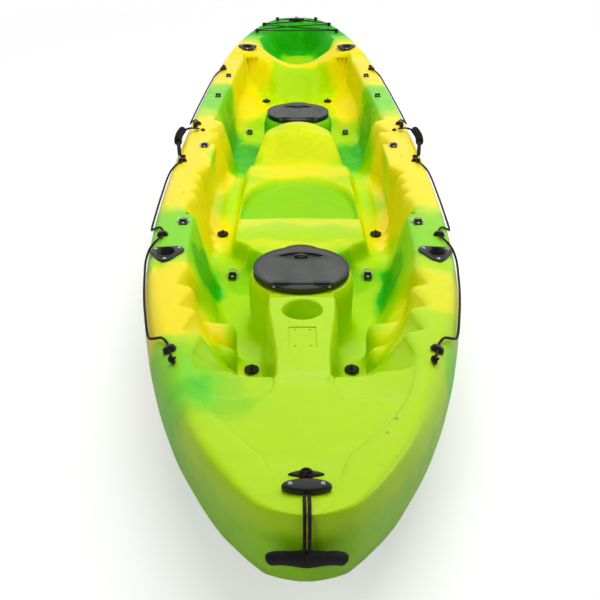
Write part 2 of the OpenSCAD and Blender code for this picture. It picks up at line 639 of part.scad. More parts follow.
// Pad-eyes: a two-screw plate with a bow, and a D-ring through the bow
module pad_eye() {
    difference() {
        linear_extrude(pad_t) stadium(pad_w, pad_l / 2);
        for (s = [-1, 1]) translate([s * pad_screw / 2, 0, -1]) cylinder(r = screw_r + 0.2, h = 10);
    }
    translate([0, 0, pad_t - 0.5]) rotate([90, 0, 90])
        rotate_extrude(angle = 180) translate([eye_r, 0]) circle(r = eye_wire);
}
module pad_eyes() color("black") both_sides() {
    for (p = FLOOR_RINGS) on_deck(p[0], p[1]) pad_eye();
    for (p = concat(DECK_RINGS, DECK_EYES)) on_gunwale(p) pad_eye();
}
module d_ring() color("silver") translate([0, 0, ring_z])
    cord_loop([for (a = [0:22.5:180]) ring_r * [cos(a), sin(a), 0]], 2 * ring_wire, [0, 0, 1]);
module floor_ring(p) on_deck(p[0], p[1]) d_ring();
module deck_ring(p) on_gunwale(p) d_ring();

// Deck lines: elastic cord along the gunwale, through small saddles
function line_slope(y) = atan2(half_beam(y + 20) - half_beam(y - 20), 40);
module saddle(y) on_deck(half_beam(y) - line_inset, y) rotate(-line_slope(y)) difference() {
    translate([0, 0, y == FRONT_LINE[0] ? fore_saddle_lift : 0])
        linear_extrude(saddle_h) stadium(saddle_w, saddle_r);
    translate([0, saddle_w, line_rise]) rotate([90, 0, 0])
        cylinder(d = line_d + saddle_play, h = 2 * saddle_w);
}
module line_saddles() color("black") both_sides() for (y = concat(FRONT_LINE, REAR_LINE)) saddle(y);
function line_away(y, ends) = smooth((min([for (e = ends) abs(y - e)]) - line_hold) / line_run);
function line_point(y, ends) =
    let (b = half_beam(y), t = line_away(y, ends), g = mix(seam_z(y), sheer(y), 0.62))
    mix(above_deck(b - line_inset, y, line_rise), [b - 0.3 * crest_inset(y) + line_off, y, g + line_up], t)
    + [0, 0, line_hump * sin(180 * t)];
function line_stations(ends) = let (last = len(ends) - 1) concat(
    [for (i = [0:last - 1]) each concat([for (d = [0, 20, 40, 60, 90]) ends[i] + d],
        steps(ends[i] + 200, ends[i + 1] - 200, 2), [for (d = [90, 60, 40, 20]) ends[i + 1] - d])],
    [ends[last]]);
function line_tail(y) = above_deck(half_beam(y) - line_inset, y, line_rise);
module deck_line(ends) color("black") {
    fore = line_tail(ends[0] - tail_l);
    aft = line_tail(ends[len(ends) - 1] + knot_l);
    cord(concat([fore], [for (y = line_stations(ends)) line_point(y, ends)], [aft]), line_d, [0, 0, 1]);
    for (p = [fore, aft]) translate(p) sphere(d = line_d * knot_grow);
}

// Cargo bungee: one cord, straight across the first hooks and crossed twice behind them
function hook_at(i, s) = let (y = HOOKS[i][1], x = half_beam(y) - HOOKS[i][0])
    [s * x, y, deck_z(x, y) + bungee_rise];
function round_hook(i, s, turn) = let (h = hook_at(i, s), o = hook_post / 2 + bungee_d / 2 + wrap_play)
    [for (a = [-75:37.5:75]) h + o * [s * cos(a), turn * sin(a), 0]];
function span(a, b, lift) = [(a + b) / 2 + [0, 0, lift]];
BUNGEE_WRAPS = [[2, -1, -1], [1, 1, -1], [0, -1, -1], [0, 1, 1], [1, -1, 1], [2, 1, 1]];
BUNGEE_LIFT = [4, 4, 0, -4, -4];
module cargo_bungee() color("black") {
    wraps = [for (w = BUNGEE_WRAPS) round_hook(w[0], w[1], w[2])];
    route = [for (i = [0:5]) each concat(wraps[i],
        i < 5 ? span(wraps[i][len(wraps[i]) - 1], wraps[i + 1][0], BUNGEE_LIFT[i]) : [])];
    cord(route, bungee_d, [0, 0, 1]);
}
module cargo_hooks() color("black") both_sides() for (p = HOOKS) {
    x = half_beam(p[1]) - p[0];
    top = deck_z(x, p[1]) + bungee_rise + bungee_d / 2 + wrap_play;
    on_deck(x, p[1]) translate([0, 0, p[2]]) cylinder(d = hook_base, h = hook_plate);
    translate([x, p[1], deck_z(x, p[1]) + hook_plate]) cylinder(d = hook_post, h = top - deck_z(x, p[1]) - 1);
    translate([x, p[1], top]) cylinder(d = hook_head, h = hook_plate);
}

// End toggles: bracket on the deck, doubled cord over the end, moulded T-grip
module at_end(bow) {
    if (bow) children();
    else rotate(180) children();
}
function end_deck(bow, inward) = deck_z(0, bow ? bow_y + inward : stern_y - inward);
module on_end(bow, inward)
    at_end(bow) translate([0, bow_y + inward, end_deck(bow, inward) + bracket_gap]) children();
module toggle_bracket(bow) color("black") on_end(bow, bracket_in) difference() {
    linear_extrude(bracket_h) stadium(bracket_w, bracket_l / 2);
    translate([-cord_pair - toggle_d / 2 - 0.4, -bracket_l, -1])
        cube([2 * cord_pair + toggle_d + 0.8, 2 * bracket_l, cord_z + toggle_d / 2 + 1.4]);
    for (s = [-1, 1]) translate([s * bracket_screw / 2, 0, -1]) cylinder(r = screw_r + 0.2, h = 40);
}
module anchor_cord(bow) color("black") on_end(bow, bracket_in) for (s = [-1, 1]) {
    knot = [s * (knot_d + knot_gap) / 2, knot_in, cord_z + knot_up];
    cord([[s * cord_pair, -bracket_l / 2, cord_z], [s * cord_pair, bracket_l / 2 + 2, cord_z], knot],
        toggle_d, [1, 0, 0]);
    translate(knot) sphere(d = knot_d);
}
// Route of one strand, from the front of the bracket, over the end and down into the grip
TOGGLE_ROUTE = [[-bracket_l / 2 - toggle_d / 2 - seat_gap, 0], [-48, 4], [-62, 1], [-71, -9],
    [-bracket_in - grip_off, -26], [-bracket_in - grip_off, grip_r - 2 - grip_drop]];
module toggle_cord(bow) color("black") on_end(bow, bracket_in) for (s = [-1, 1]) {
    cord([for (p = TOGGLE_ROUTE) [s * cord_pair, p[0], p[1] + cord_z]], toggle_d, [1, 0, 0]);
    translate([s * cord_pair, TOGGLE_ROUTE[0][0], cord_z]) sphere(d = toggle_d + 0.4);
}
module toggle_grip(bow) color("black") on_end(bow, bracket_in)
    translate([0, -bracket_in - grip_off, cord_z - grip_drop]) rotate([0, 90, 0]) difference() {
        rotate_extrude() polygon(concat([[0, -grip_w / 2]],
            [for (t = [-1:0.1:1.01])
                [grip_r * (1 - grip_taper * t * t - grip_round * pow(t, 20)), t * grip_w / 2]],
            [[0, grip_w / 2]]));
        for (s = [-1, 1]) translate([-30 - grip_r / 2, 0, s * cord_pair]) rotate([0, 90, 0])
            cylinder(d = toggle_d + 0.6, h = 30);
    }
module bow_pad_eye() color("black") on_end(true, pad_in) {
    linear_extrude(pad_t) stadium(bow_pad_w, bow_pad_r);
    translate([0, 0, pad_t - 0.5]) rotate([90, 0, 0])
        rotate_extrude(angle = 180) translate([bow_eye_r, 0]) circle(r = bow_eye_wire);
}

// Side carry handles: rubber grip on a webbing strap between two anchors
function anchor_at(i) =
    let (p = ANCHORS[i], x = half_beam(p[1]) - p[0])
    [x, p[1], deck_z(x, p[1]) + anchor_h / 2 + seat_gap];
function grip_point(t) =
    let (y = mix(grip_y[0], grip_y[1], t))
    [beam / 2 + handle_out - handle_bow * pow(2 * t - 1, 2), y, sheer(y) + handle_up];
module handle_grip() color("black") cord([for (t = [0:0.125:1]) grip_point(t)], handle_d, [0, 0, 1], 12);
module handle_strap() color("black") for (i = [0, 1]) {
    start = anchor_at(i) + [anchor_d / 2 + 5, 0, 3];
    end = grip_point(i) - [0, (2 * i - 1) * strap_in, 0];
    cord([start, (start + end) / 2 + [0, (2 * i - 1) * 4, strap_rise], end], strap_d, [0, 0, 1]);
}
module handle_anchors() color("black") both_sides() for (p = ANCHORS)
    on_gunwale(p) cylinder(d = anchor_d, h = anchor_h);

// Drain at the stern end
module at_drain() translate([0, stern_y + drain_flange, drain_z]) rotate([90, 0, 0]) children();
module drain_socket() color("black") at_drain() difference() {
    union() {
        cylinder(d = drain_d + drain_rim, h = drain_flange - 0.3);
        cylinder(d = drain_d, h = drain_tube);
    }
    translate([0, 0, -1]) cylinder(d = drain_bore, h = 40);
}
module drain_plug() color("black") at_drain() difference() {
    union() {
        translate([0, 0, -drain_head_t - 0.3]) cylinder(d = drain_d + 6, h = drain_head_t);
        translate([0, 0, -1]) cylinder(d = drain_bore - 0.6, h = drain_tube - 3);
    }
    translate([-drain_d, -drain_slot / 2, -8]) cube([2 * drain_d, drain_slot, 4]);
}

// Small metal
module screw_head() translate([0, 0, 0.1]) {
    cylinder(r = screw_head_r, h = screw_head_t);
    translate([0, 0, -screw_l]) cylinder(r = screw_r, h = screw_l + 0.4);
}
module screw_pair(span, z) for (s = [-1, 1]) translate([s * span / 2, 0, z]) screw_head();
module screws() color("silver") {
    both_sides() {
        for (p = FLOOR_RINGS) on_deck(p[0], p[1]) screw_pair(pad_screw, pad_t);
        for (p = concat(DECK_RINGS, DECK_EYES)) on_gunwale(p) screw_pair(pad_screw, pad_t);
    }
    for (bow = [true, false]) on_end(bow, bracket_in) screw_pair(bracket_screw, bracket_h);
}

SIDES = ["port", "starboard"];
ENDS = ["front", "rear"];
HATCH_PARTS = ["seal", "ring", "lid", "latch", "hinge_pins"];
SIDE_PARTS = ["rod_holder_fore", "rod_holder_aft", "scupper_plug_front", "scupper_plug_mid",
    "scupper_plug_rear",
    "d_ring_front_floor", "d_ring_rear_floor", "d_ring_fore_deck", "d_ring_mid_deck",
    "deck_line_front", "deck_line_rear", "handle_grip", "handle_strap"];

hull_body();  // hull
for (e = ENDS) at_hatch(e == "front") {
    hatch_seal();
    hatch_ring();
    hatch_lid();
    hatch_latch();
    hinge_pins();
}
for (s = SIDES) starboard(s == "starboard") {
    rod_holder(RODS[0]);
    rod_holder(RODS[1]);
    scupper_plug(SCUPPERS[0]);
    scupper_plug(SCUPPERS[1]);
    scupper_plug(SCUPPERS[2]);
    floor_ring(FLOOR_RINGS[0]);
    floor_ring(FLOOR_RINGS[1]);
    deck_ring(DECK_RINGS[0]);
    deck_ring(DECK_RINGS[1]);
    deck_line(FRONT_LINE);
    deck_line(REAR_LINE);
    handle_grip();
    handle_strap();
}
rod_gaskets();  // rod_holder_gaskets
pad_eyes();
line_saddles();  // deck_line_saddles
cargo_hooks();
cargo_bungee();
bow_pad_eye();
toggle_bracket(true);  // bow_bracket
anchor_cord(true);  // bow_anchor_cord
toggle_cord(true);  // bow_toggle_cord
toggle_grip(true);  // bow_toggle_grip
toggle_bracket(false);  // stern_bracket
anchor_cord(false);  // stern_anchor_cord
toggle_cord(false);  // stern_toggle_cord
toggle_grip(false);  // stern_toggle_grip
handle_anchors();
drain_socket();
drain_plug();
screws();
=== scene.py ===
import json
import math

import bmesh
import bpy
import numpy as np
from mathutils import Matrix, Vector, noise
from mathutils.bvhtree import BVHTree

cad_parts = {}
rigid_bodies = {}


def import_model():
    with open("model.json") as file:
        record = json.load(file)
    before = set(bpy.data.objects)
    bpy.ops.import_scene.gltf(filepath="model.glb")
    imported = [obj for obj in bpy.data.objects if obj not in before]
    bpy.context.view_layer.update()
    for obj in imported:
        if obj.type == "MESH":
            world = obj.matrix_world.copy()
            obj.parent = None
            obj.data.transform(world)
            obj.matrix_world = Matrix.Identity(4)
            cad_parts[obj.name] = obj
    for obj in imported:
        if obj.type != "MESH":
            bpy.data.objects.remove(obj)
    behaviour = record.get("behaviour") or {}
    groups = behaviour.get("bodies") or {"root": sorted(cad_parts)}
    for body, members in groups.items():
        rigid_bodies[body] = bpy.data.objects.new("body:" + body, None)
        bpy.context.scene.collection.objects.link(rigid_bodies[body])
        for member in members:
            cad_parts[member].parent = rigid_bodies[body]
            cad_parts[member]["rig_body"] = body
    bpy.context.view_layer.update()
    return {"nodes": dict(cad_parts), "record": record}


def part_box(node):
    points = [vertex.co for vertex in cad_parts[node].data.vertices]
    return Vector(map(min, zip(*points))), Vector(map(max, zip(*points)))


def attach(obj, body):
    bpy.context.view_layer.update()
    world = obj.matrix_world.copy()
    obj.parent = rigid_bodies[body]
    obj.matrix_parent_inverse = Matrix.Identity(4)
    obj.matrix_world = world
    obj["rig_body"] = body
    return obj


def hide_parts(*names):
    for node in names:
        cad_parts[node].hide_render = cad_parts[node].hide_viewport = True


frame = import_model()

nodes = frame["nodes"]
scene = bpy.context.scene

# Studio: the kayak lies on a plain pale floor under broad soft lamps,
# seen from above the bow with a short telephoto lens.
FOCAL_PX, FRAME_PX, AXIS_PX, SENSOR_MM = 850, 600, 292, 36
CAMERA_PLACE, CAMERA_DIP, CAMERA_REACH = (-0.024, -2.870, 1.244), 28.5, 60


def add_object(name, data):
    thing = bpy.data.objects.new(name, data)
    scene.collection.objects.link(thing)
    return thing


camera = add_object("photo_camera", bpy.data.cameras.new("photo_camera"))
camera.data.sensor_width = SENSOR_MM
camera.data.lens = SENSOR_MM * FOCAL_PX / FRAME_PX
camera.data.shift_x = (FRAME_PX / 2 - AXIS_PX) / FRAME_PX
camera.data.clip_end = CAMERA_REACH
camera.location = CAMERA_PLACE
camera.rotation_euler = (math.radians(90 - CAMERA_DIP), 0, 0)
scene.camera = camera
scene.view_settings.view_transform = "Standard"


def feed(tree, node, inputs):
    """Sets a node's inputs, each a socket with a value or with another node's output."""
    for socket, value in inputs:
        if isinstance(value, bpy.types.NodeSocket):
            tree.links.new(value, node.inputs[socket])
        else:
            node.inputs[socket].default_value = value
    return node


def add_node(tree, kind, inputs=(), **settings):
    node = tree.nodes.new(kind)
    for key, value in settings.items():
        setattr(node, key, value)
    return feed(tree, node, inputs)


def compute(tree, operation, *values):
    """Output of a maths node over numbers or other nodes' outputs."""
    return add_node(tree, "ShaderNodeMath", enumerate(values), operation=operation).outputs["Value"]


def remap(tree, value, source, target):
    """Output of a node that carries the range source to the range target."""
    return add_node(tree, "ShaderNodeMapRange", [
        ("Value", value), ("From Min", source[0]), ("From Max", source[1]), ("To Min", target[0]),
        ("To Max", target[1])]).outputs["Result"]


def new_material(name, roughness=0.5, specular=0.5):
    """A named material, with its node tree and its shader."""
    material = bpy.data.materials.new(name)
    material.use_nodes = True
    shader = material.node_tree.nodes["Principled BSDF"]
    feed(material.node_tree, shader, [("Roughness", roughness), ("Specular IOR Level", specular)])
    return material, material.node_tree, shader


WHITE = (1, 1, 1, 1)
SKY_SPAN, SKY_GLOW, SKY_FILL = (-0.1, 0.75), (0.12, 1.0), 0.2
scene.world = bpy.data.worlds.new("studio_white")
scene.world.use_nodes = True
sky = scene.world.node_tree
sky_rays = add_node(sky, "ShaderNodeLightPath").outputs
sky_way = add_node(sky, "ShaderNodeTexCoord").outputs["Generated"]
sky_axes = add_node(sky, "ShaderNodeSeparateXYZ", [("Vector", sky_way)]).outputs
backdrop = remap(sky, sky_axes["Y"], SKY_SPAN, SKY_GLOW)
mirrored_sky = remap(sky, sky_rays["Is Glossy Ray"], (0, 1), (SKY_FILL, backdrop))
seen_sky = compute(sky, "MAXIMUM", sky_rays["Is Camera Ray"], sky_rays["Is Transmission Ray"])
feed(sky, sky.nodes["Background"], [
    ("Color", WHITE), ("Strength", compute(sky, "MAXIMUM", seen_sky, mirrored_sky))])

LAMPS = {
    "overhead_softbox": ((0.3, 0.4, 4.2), (0, 0, 0.2), 4.0, 158),
    "bow_softbox": ((-2.2, -4.6, 2.6), (0, -0.6, 0.2), 2.6, 40),
    "port_softbox": ((4.2, -0.4, 1.6), (0, -0.6, 0.2), 2.2, 46),
}
for lamp_name, (place, aim, size, watts) in LAMPS.items():
    lamp = add_object(lamp_name, bpy.data.lights.new(lamp_name, "AREA"))
    lamp.data.shape = "DISK"
    lamp.data.size = size
    lamp.data.energy = watts
    lamp.location = place
    lamp.visible_glossy = lamp_name == "port_softbox"
    lamp.rotation_euler = (Vector(aim) - Vector(place)).to_track_quat("-Z", "Y").to_euler()

FLOOR_HALF, FLOOR_GREY, FLOOR_FADE, FLOOR_GLOW = 30, (0.6, 0.6, 0.6, 1), (1.5, 6.5), (0.5, 0.85)
floor_mesh = bpy.data.meshes.new("studio_floor")
floor_mesh.from_pydata([(x * FLOOR_HALF, y * FLOOR_HALF, 0) for x, y in ((-1, -1), (1, -1), (1, 1), (-1, 1))],
                       [], [(0, 1, 2, 3)])
studio_floor = add_object("studio_floor", floor_mesh)
pale_floor, floor_tree, floor_shader = new_material("pale_floor", 0.9)
floor_rays = add_node(floor_tree, "ShaderNodeLightPath").outputs
floor_place = add_node(floor_tree, "ShaderNodeTexCoord").outputs["Object"]
floor_reach = add_node(floor_tree, "ShaderNodeVectorMath", [(0, floor_place)], operation="LENGTH")
floor_fade = remap(floor_tree, floor_reach.outputs["Value"], FLOOR_FADE, FLOOR_GLOW)
floor_lift = compute(floor_tree, "MULTIPLY", floor_fade, floor_rays["Is Camera Ray"])
feed(floor_tree, floor_shader, [
    ("Base Color", FLOOR_GREY), ("Emission Color", WHITE), ("Emission Strength", floor_lift)])
floor_mesh.materials.append(pale_floor)

# Hull: one hollow rotational moulding in polyethylene, with the deck, wells, seats and keel in it.
# The section lines follow the source's own lines, in millimetres, at close stations with rounded corners.
MM = 0.001
LENGTH, BEAM = 3700, 860
BOW_Y, STERN_Y = -LENGTH / 2, LENGTH / 2
WIDE_Y = -150
SIDE_DECK_Z, BOW_DECK_Z, STERN_DECK_Z = 300, 302, 400
KEEL_CHANNEL = 18
FOOTWELL_Y, FRONT_FLOOR_Z, REAR_FLOOR_Z = -1425, 86, 105
CONSOLE_Z, CONSOLE_NOSE_W, CONSOLE_W = 266, 114, 160
SEAT_FRONT_Y, SEAT_Z, SEAT_W, SEAT_DISH = -510, 177, 396, 38
HUMP_Z, REAR_SEAT_Z, RIDGE_Z, CARGO_FLOOR_Z = 284, 150, 268, 250
FRONT_HATCH_Y, REAR_HATCH_Y, PEDESTAL_D, PEDESTAL_Z = -890, 540, 262, 251
FRONT_TEETH, MID_TEETH, REAR_TEETH = (-1040, 107, 3, 42), (-277, 80, 3, 24), (300, 145, 2, 42)
TOOTH_FACE, SEAM_SHARE, GUNWALE_IN, GUNWALE_UP = 0.12, 0.78, 0.3, 0.62


def smooth(t):
    c = min(1.0, max(0.0, t))
    return c * c * (3 - 2 * c)


def mix(a, b, t):
    return a + (b - a) * t


def mix2(a, b, t):
    return (mix(a[0], b[0], t), mix(a[1], b[1], t))


def profile(table, y, ease=smooth):
    """Value of rows (y, value) at y, eased between rows."""
    if y <= table[0][0]:
        return table[0][1]
    for (y0, v0), (y1, v1) in zip(table, table[1:]):
        if y < y1:
            return mix(v0, v1, ease((y - y0) / (y1 - y0)))
    return table[-1][1]


def eased(table):
    """A function of y through rows (y, value), eased between rows."""
    return lambda y: profile(table, y)


def sloped(table):
    """A function of y through rows (y, value), straight between rows."""
    return lambda y: profile(table, y, lambda t: t)


def half_beam(y):
    if y < WIDE_Y:
        s = (WIDE_Y - y) / (WIDE_Y - BOW_Y + 15)
        tip = 1 - min(1, (y - BOW_Y) / 26)
        return (BEAM / 2 * max(0, 1 - s ** 3) ** 0.7 + 26 * s ** 12) * math.sqrt(1 - 0.75 * tip * tip)
    s = (y - WIDE_Y) / (STERN_Y - WIDE_Y + 18)
    return BEAM / 2 * (1 - 0.12 * s) * math.sqrt(max(0, 1 - s ** 4))


crest_inset = eased([
    (BOW_Y, 6), (BOW_Y + 150, 12), (FOOTWELL_Y, 36), (-1000, 24), (1300, 22), (STERN_Y, 10)])


def panel_edge(y):
    s = (WIDE_Y - y) / (WIDE_Y - BOW_Y - 85)
    return max(0.45 * (half_beam(y) - crest_inset(y)), 0.763 * BEAM / 2 * max(0, 1 - s ** 3) ** 0.7)


def panel_drop(y):
    return 7 * smooth((y - BOW_Y - 70) / 90)


sheer = sloped([
    (BOW_Y, BOW_DECK_Z), (FOOTWELL_Y, SIDE_DECK_Z - 10), (-900, SIDE_DECK_Z - 4), (0, SIDE_DECK_Z),
    (700, SIDE_DECK_Z + 5), (950, SIDE_DECK_Z + 15), (1370, SIDE_DECK_Z + 50),
    (1600, STERN_DECK_Z - 30), (STERN_Y - 60, STERN_DECK_Z - 3), (STERN_Y, STERN_DECK_Z)])
keel = sloped([
    (BOW_Y, 165), (BOW_Y + 20, 135), (BOW_Y + 60, 98), (BOW_Y + 150, 55), (BOW_Y + 350, 16),
    (BOW_Y + 600, 0), (STERN_Y - 950, 0), (STERN_Y - 550, 12), (STERN_Y - 250, 62), (STERN_Y - 90, 135),
    (STERN_Y - 30, 195), (STERN_Y, 250)])


def flatness(y):
    return min(smooth((y - BOW_Y - 250) / 500), smooth((STERN_Y - 500 - y) / 600))


def seam_z(y):
    return mix(keel(y), sheer(y), SEAM_SHARE) - 10


def tooth(y, teeth):
    first, pitch, count, depth = teeth
    for i in range(count):
        t = (first - i * pitch - y) / pitch
        if 0 < t <= 1:
            return depth * (t / TOOTH_FACE if t < TOOTH_FACE else (1 - t) / (1 - TOOTH_FACE))
    return 0


def braces(y):
    """How far the moulded foot braces stand in at y, with their crests rounded."""
    return sum(tooth(y + d, teeth) for teeth in (FRONT_TEETH, MID_TEETH, REAR_TEETH) for d in (-5, 0, 5)) / 3


rim_inset = sloped([
    (FOOTWELL_Y + 25, 72), (-1355, 80), (-1040, 82), (-940, 112), (-640, 118), (-605, 116), (-590, 92),
    (-277, 92), (-200, 130), (8, 130), (24, 90), (300, 92), (400, 98),
    (760, 100), (775, 106), (1180, 100)])


def round_half(y, centre):
    return math.sqrt(max(0, (PEDESTAL_D / 2) ** 2 - (y - centre) ** 2))


spine_z = eased([
    (FOOTWELL_Y - 55, 287), (FOOTWELL_Y + 25, CONSOLE_Z + 1), (FRONT_HATCH_Y - 165, CONSOLE_Z),
    (FRONT_HATCH_Y - 128, PEDESTAL_Z), (FRONT_HATCH_Y + 128, PEDESTAL_Z), (-690, 192), (-640, SEAT_Z + 2),
    (SEAT_FRONT_Y, SEAT_Z), (45, SEAT_Z + 3), (62, SEAT_Z + 9), (116, SEAT_Z + 13), (268, HUMP_Z - 8),
    (300, HUMP_Z), (345, HUMP_Z - 2), (395, PEDESTAL_Z), (REAR_HATCH_Y + 128, PEDESTAL_Z),
    (720, REAR_SEAT_Z + 30), (800, REAR_SEAT_Z)])
dish = eased([(880, 0), (980, 15), (1150, 18), (1250, 0)])
dish_half = eased([(-400, 186), (-200, 182), (-60, 150), (48, 80), (880, 80), (1180, 70)])


def block_half(y):
    return max(profile([
        (FOOTWELL_Y + 85, CONSOLE_NOSE_W / 2), (FRONT_HATCH_Y - 160, CONSOLE_W / 2), (-1000, CONSOLE_W / 2),
        (-960, 100), (-640, 100), (-565, 150), (SEAT_FRONT_Y, SEAT_W / 2), (45, SEAT_W / 2 - 12),
        (108, SEAT_W / 2 - 18), (122, 160), (270, 132), (330, 126), (400, 70), (690, 70),
        (800, 100), (1250, 90)], y), round_half(y, FRONT_HATCH_Y), round_half(y, REAR_HATCH_Y))


crown = eased([(116, 0), (250, 26), (300, 40), (345, 40), (395, 0)])
floor_z = eased([
    (FOOTWELL_Y, FRONT_FLOOR_Z + 2), (FRONT_HATCH_Y, FRONT_FLOOR_Z), (-640, FRONT_FLOOR_Z + 8),
    (-530, FRONT_FLOOR_Z + 32), (-430, FRONT_FLOOR_Z + 16), (-300, FRONT_FLOOR_Z + 8), (0, 120),
    (106, 140), (118, 140), (142, REAR_FLOOR_Z), (790, REAR_FLOOR_Z), (860, REAR_SEAT_Z)])


def wall_foot(y):
    return profile([
        (FOOTWELL_Y + 25, 150), (-1104, 182), (-911, 206), (-687, 246), (SEAT_FRONT_Y, 276), (-300, 302),
        (0, 296), (118, 280), (300, 262), (800, 262), (920, 274), (1180, 255)], y) - 0.8 * braces(y)


bank = eased([(820, 0), (930, 62), (1180, 80)])
draft = eased([
    (-1000, 16), (-960, 8), (-700, 10), (SEAT_FRONT_Y, 16), (108, 16), (270, 26), (400, 8)])
stern_edge = sloped([(1345, 215), (1430, 212), (1600, 158), (1720, 95), (1760, 60), (STERN_Y, 25)])
stern_mid = eased([
    (1365, RIDGE_Z), (1445, CARGO_FLOOR_Z), (1650, CARGO_FLOOR_Z + 5), (1740, STERN_DECK_Z - 5),
    (1780, STERN_DECK_Z - 3), (STERN_Y, STERN_DECK_Z - 1)])
stern_flat = eased([(1372, 0.0), (1440, 0.42), (1600, 0.3), (1700, 0.2)])
SPREAD = (0, 0.22, 0.42, 0.56, 0.62, 0.7, 0.82, 0.9, 0.96, 1)
LIP_SLANT = (0, 0, 0, 0, 8, 10, 18, 26, 56, 66)
LIP_RUN = (150, 150, 150, 60, 42, 42, 42, 42, 42, 42)
LIP_Y = FOOTWELL_Y + 60


def cockpit_line(y):
    """The ten points from the centreline out to the rim, at y in the cockpit."""
    top, b, f, w, d = spine_z(y), block_half(y), floor_z(y), wall_foot(y), dish(y)
    flare, deck, raised = draft(y), sheer(y), bank(y)
    rim = half_beam(y) - rim_inset(y) - braces(y)
    corner = min(10, max(0.5, (top - f) * 0.3))
    shoulder = max(0.6 * corner, crown(y))
    pan = min(0.84 * b, dish_half(y))
    return [(0, top - d), (0.62 * pan, top - 0.8 * d - 0.15 * shoulder), (pan, top - 0.45 * shoulder),
            (b, top - shoulder), (b + flare - 1, f + corner), (b + flare + 12, f),
            (w - 12 - 1.1 * raised, f), (w + 4 - 0.25 * raised, f + 14 + 0.55 * raised),
            (rim - 5, deck - 16), (rim + 6, deck)]


def bow_line(y):
    meet = smooth((y - FOOTWELL_Y + 280) / 220)
    narrow = min(1, half_beam(y) / half_beam(LIP_Y))
    well = cockpit_line(max(y, LIP_Y))
    line = []
    for k, u in enumerate(SPREAD):
        line.append((mix(u * panel_edge(y), narrow * well[k][0], meet),
                     sheer(y) + 3 * (1 - u * u) - (0 if k == 9 else panel_drop(y))))
    return line


SEAT_BACK_Y, RIDGE_Y, PILLAR_Y, PILLAR_X = 1165, 1345, 1238, 150


def ridge_lag(x):
    """How much further aft the ridge lies away from the centreline."""
    return 18 * (min(x, 190) / 120) ** 4


def stern_line(y):
    """The ten points behind the rear seat: its back and the two pillars, then the cargo well."""
    seat = cockpit_line(min(y, SEAT_BACK_Y + 15))
    edge, flat, back = stern_edge(y), stern_flat(y), smooth((y - RIDGE_Y) / 95)
    line = []
    for (x, low), u in zip(seat, SPREAD):
        x = mix(x, u * edge, back)
        t = min(1, x / edge)
        rise = mix(t * t, smooth((t - flat) / (1 - flat)), back)
        high = mix(stern_mid(y - ridge_lag(x) * (1 - back)), sheer(y), rise)
        beside = smooth((x - 90) / (PILLAR_X - 90))
        start, run = mix(SEAT_BACK_Y, PILLAR_Y, beside), mix(RIDGE_Y - SEAT_BACK_Y, 56, beside)
        line.append((x, mix(low + max(0, sheer(y) - sheer(SEAT_BACK_Y)) * smooth((x - 200) / 60), high,
                            smooth((y - start) / run))))
    return line


def top_line(y):
    if y > SEAT_BACK_Y:
        return stern_line(y)
    bow = bow_line(y) if y < FOOTWELL_Y + 120 else None
    well = cockpit_line(y) if y > FOOTWELL_Y - 120 else None
    line = []
    for k in range(10):
        into = smooth((y - FOOTWELL_Y - LIP_SLANT[k] + (LIP_RUN[k] - 42) * 0.7) / LIP_RUN[k])
        a = bow[k] if into < 1 else (0, 0)
        b = well[k] if into > 0 else (0, 0)
        line.append(mix2(a, b, into))
    return line


SHELF_Y = (-1395, -980)
SHELF_Z = 200


def brace_shelf(y, top):
    """Two points on the side wall between its foot and its rim: the shelf over the lower front braces."""
    low, high = top[7], top[8]
    full = smooth((y - SHELF_Y[0]) / 40) * (1 - smooth((y - SHELF_Y[1]) / 70))
    edge = (low[0] + 8, mix(140, SHELF_Z - 12, braces(y) / FRONT_TEETH[3]))
    foot = (max(edge[0] + 8, 177 + 0.35 * (y + 1241)), SHELF_Z + 2)
    return [mix2(mix2(low, high, 0.3), edge, full), mix2(mix2(low, high, 0.65), foot, full)]


def half_section(y):
    """The section from the centreline of the top, over the gunwale, to the centreline of the keel."""
    top = top_line(y)
    b, inset, deck, g, k = half_beam(y), crest_inset(y), sheer(y), seam_z(y), keel(y)
    w = flatness(y)
    crest, rise = b - inset, g - k
    dead = (1 - w) * rise
    return top[:8] + brace_shelf(y, top) + top[8:] + [
        (mix(top[9][0], crest, 0.5), deck + 2), (crest, deck - 2),
        (b - GUNWALE_IN * inset, mix(g, deck, GUNWALE_UP)), (b, g),
        (0.965 * b, k + 0.55 * rise), (0.87 * b, k + 0.27 * rise + 0.06 * dead),
        (0.73 * b, k + 0.08 * rise + 0.10 * dead), (0.61 * b, k + 0.09 * dead), (0.46 * b, k + 0.05 * dead),
        (0.28 * b, k + KEEL_CHANNEL * w + 0.02 * dead), (min(22, 0.12 * b), k), (0, k)]


LINE_CUTS = (7, 7, 6, 4, 4, 10, 5, 4, 4, 4, 4, 3, 4, 3, 3, 3, 2, 2, 2, 2, 2, 2, 1)
TOP_COUNT = sum(LINE_CUTS[:13])


def spline(ends, cuts):
    """A centripetal spline through the points but the first and last, with the given steps in each span."""
    knots = [0.0]
    for a, b in zip(ends, ends[1:]):
        knots.append(knots[-1] + max(1e-3, math.dist(a, b)) ** 0.5)
    line = []
    for i, n in enumerate(cuts):
        p = ends[i:i + 4]
        t = knots[i:i + 4]
        for s in range(n):
            u = mix(t[1], t[2], s / n)
            a = [[mix(v, w, (u - t[j]) / (t[j + 1] - t[j])) for v, w in zip(p[j], p[j + 1])]
                 for j in range(3)]
            b = [[mix(v, w, (u - t[j]) / (t[j + 2] - t[j])) for v, w in zip(a[j], a[j + 1])]
                 for j in range(2)]
            line.append(tuple(mix(v, w, (u - t[1]) / (t[2] - t[1])) for v, w in zip(*b)))
    line.append(tuple(ends[-2]))
    return line


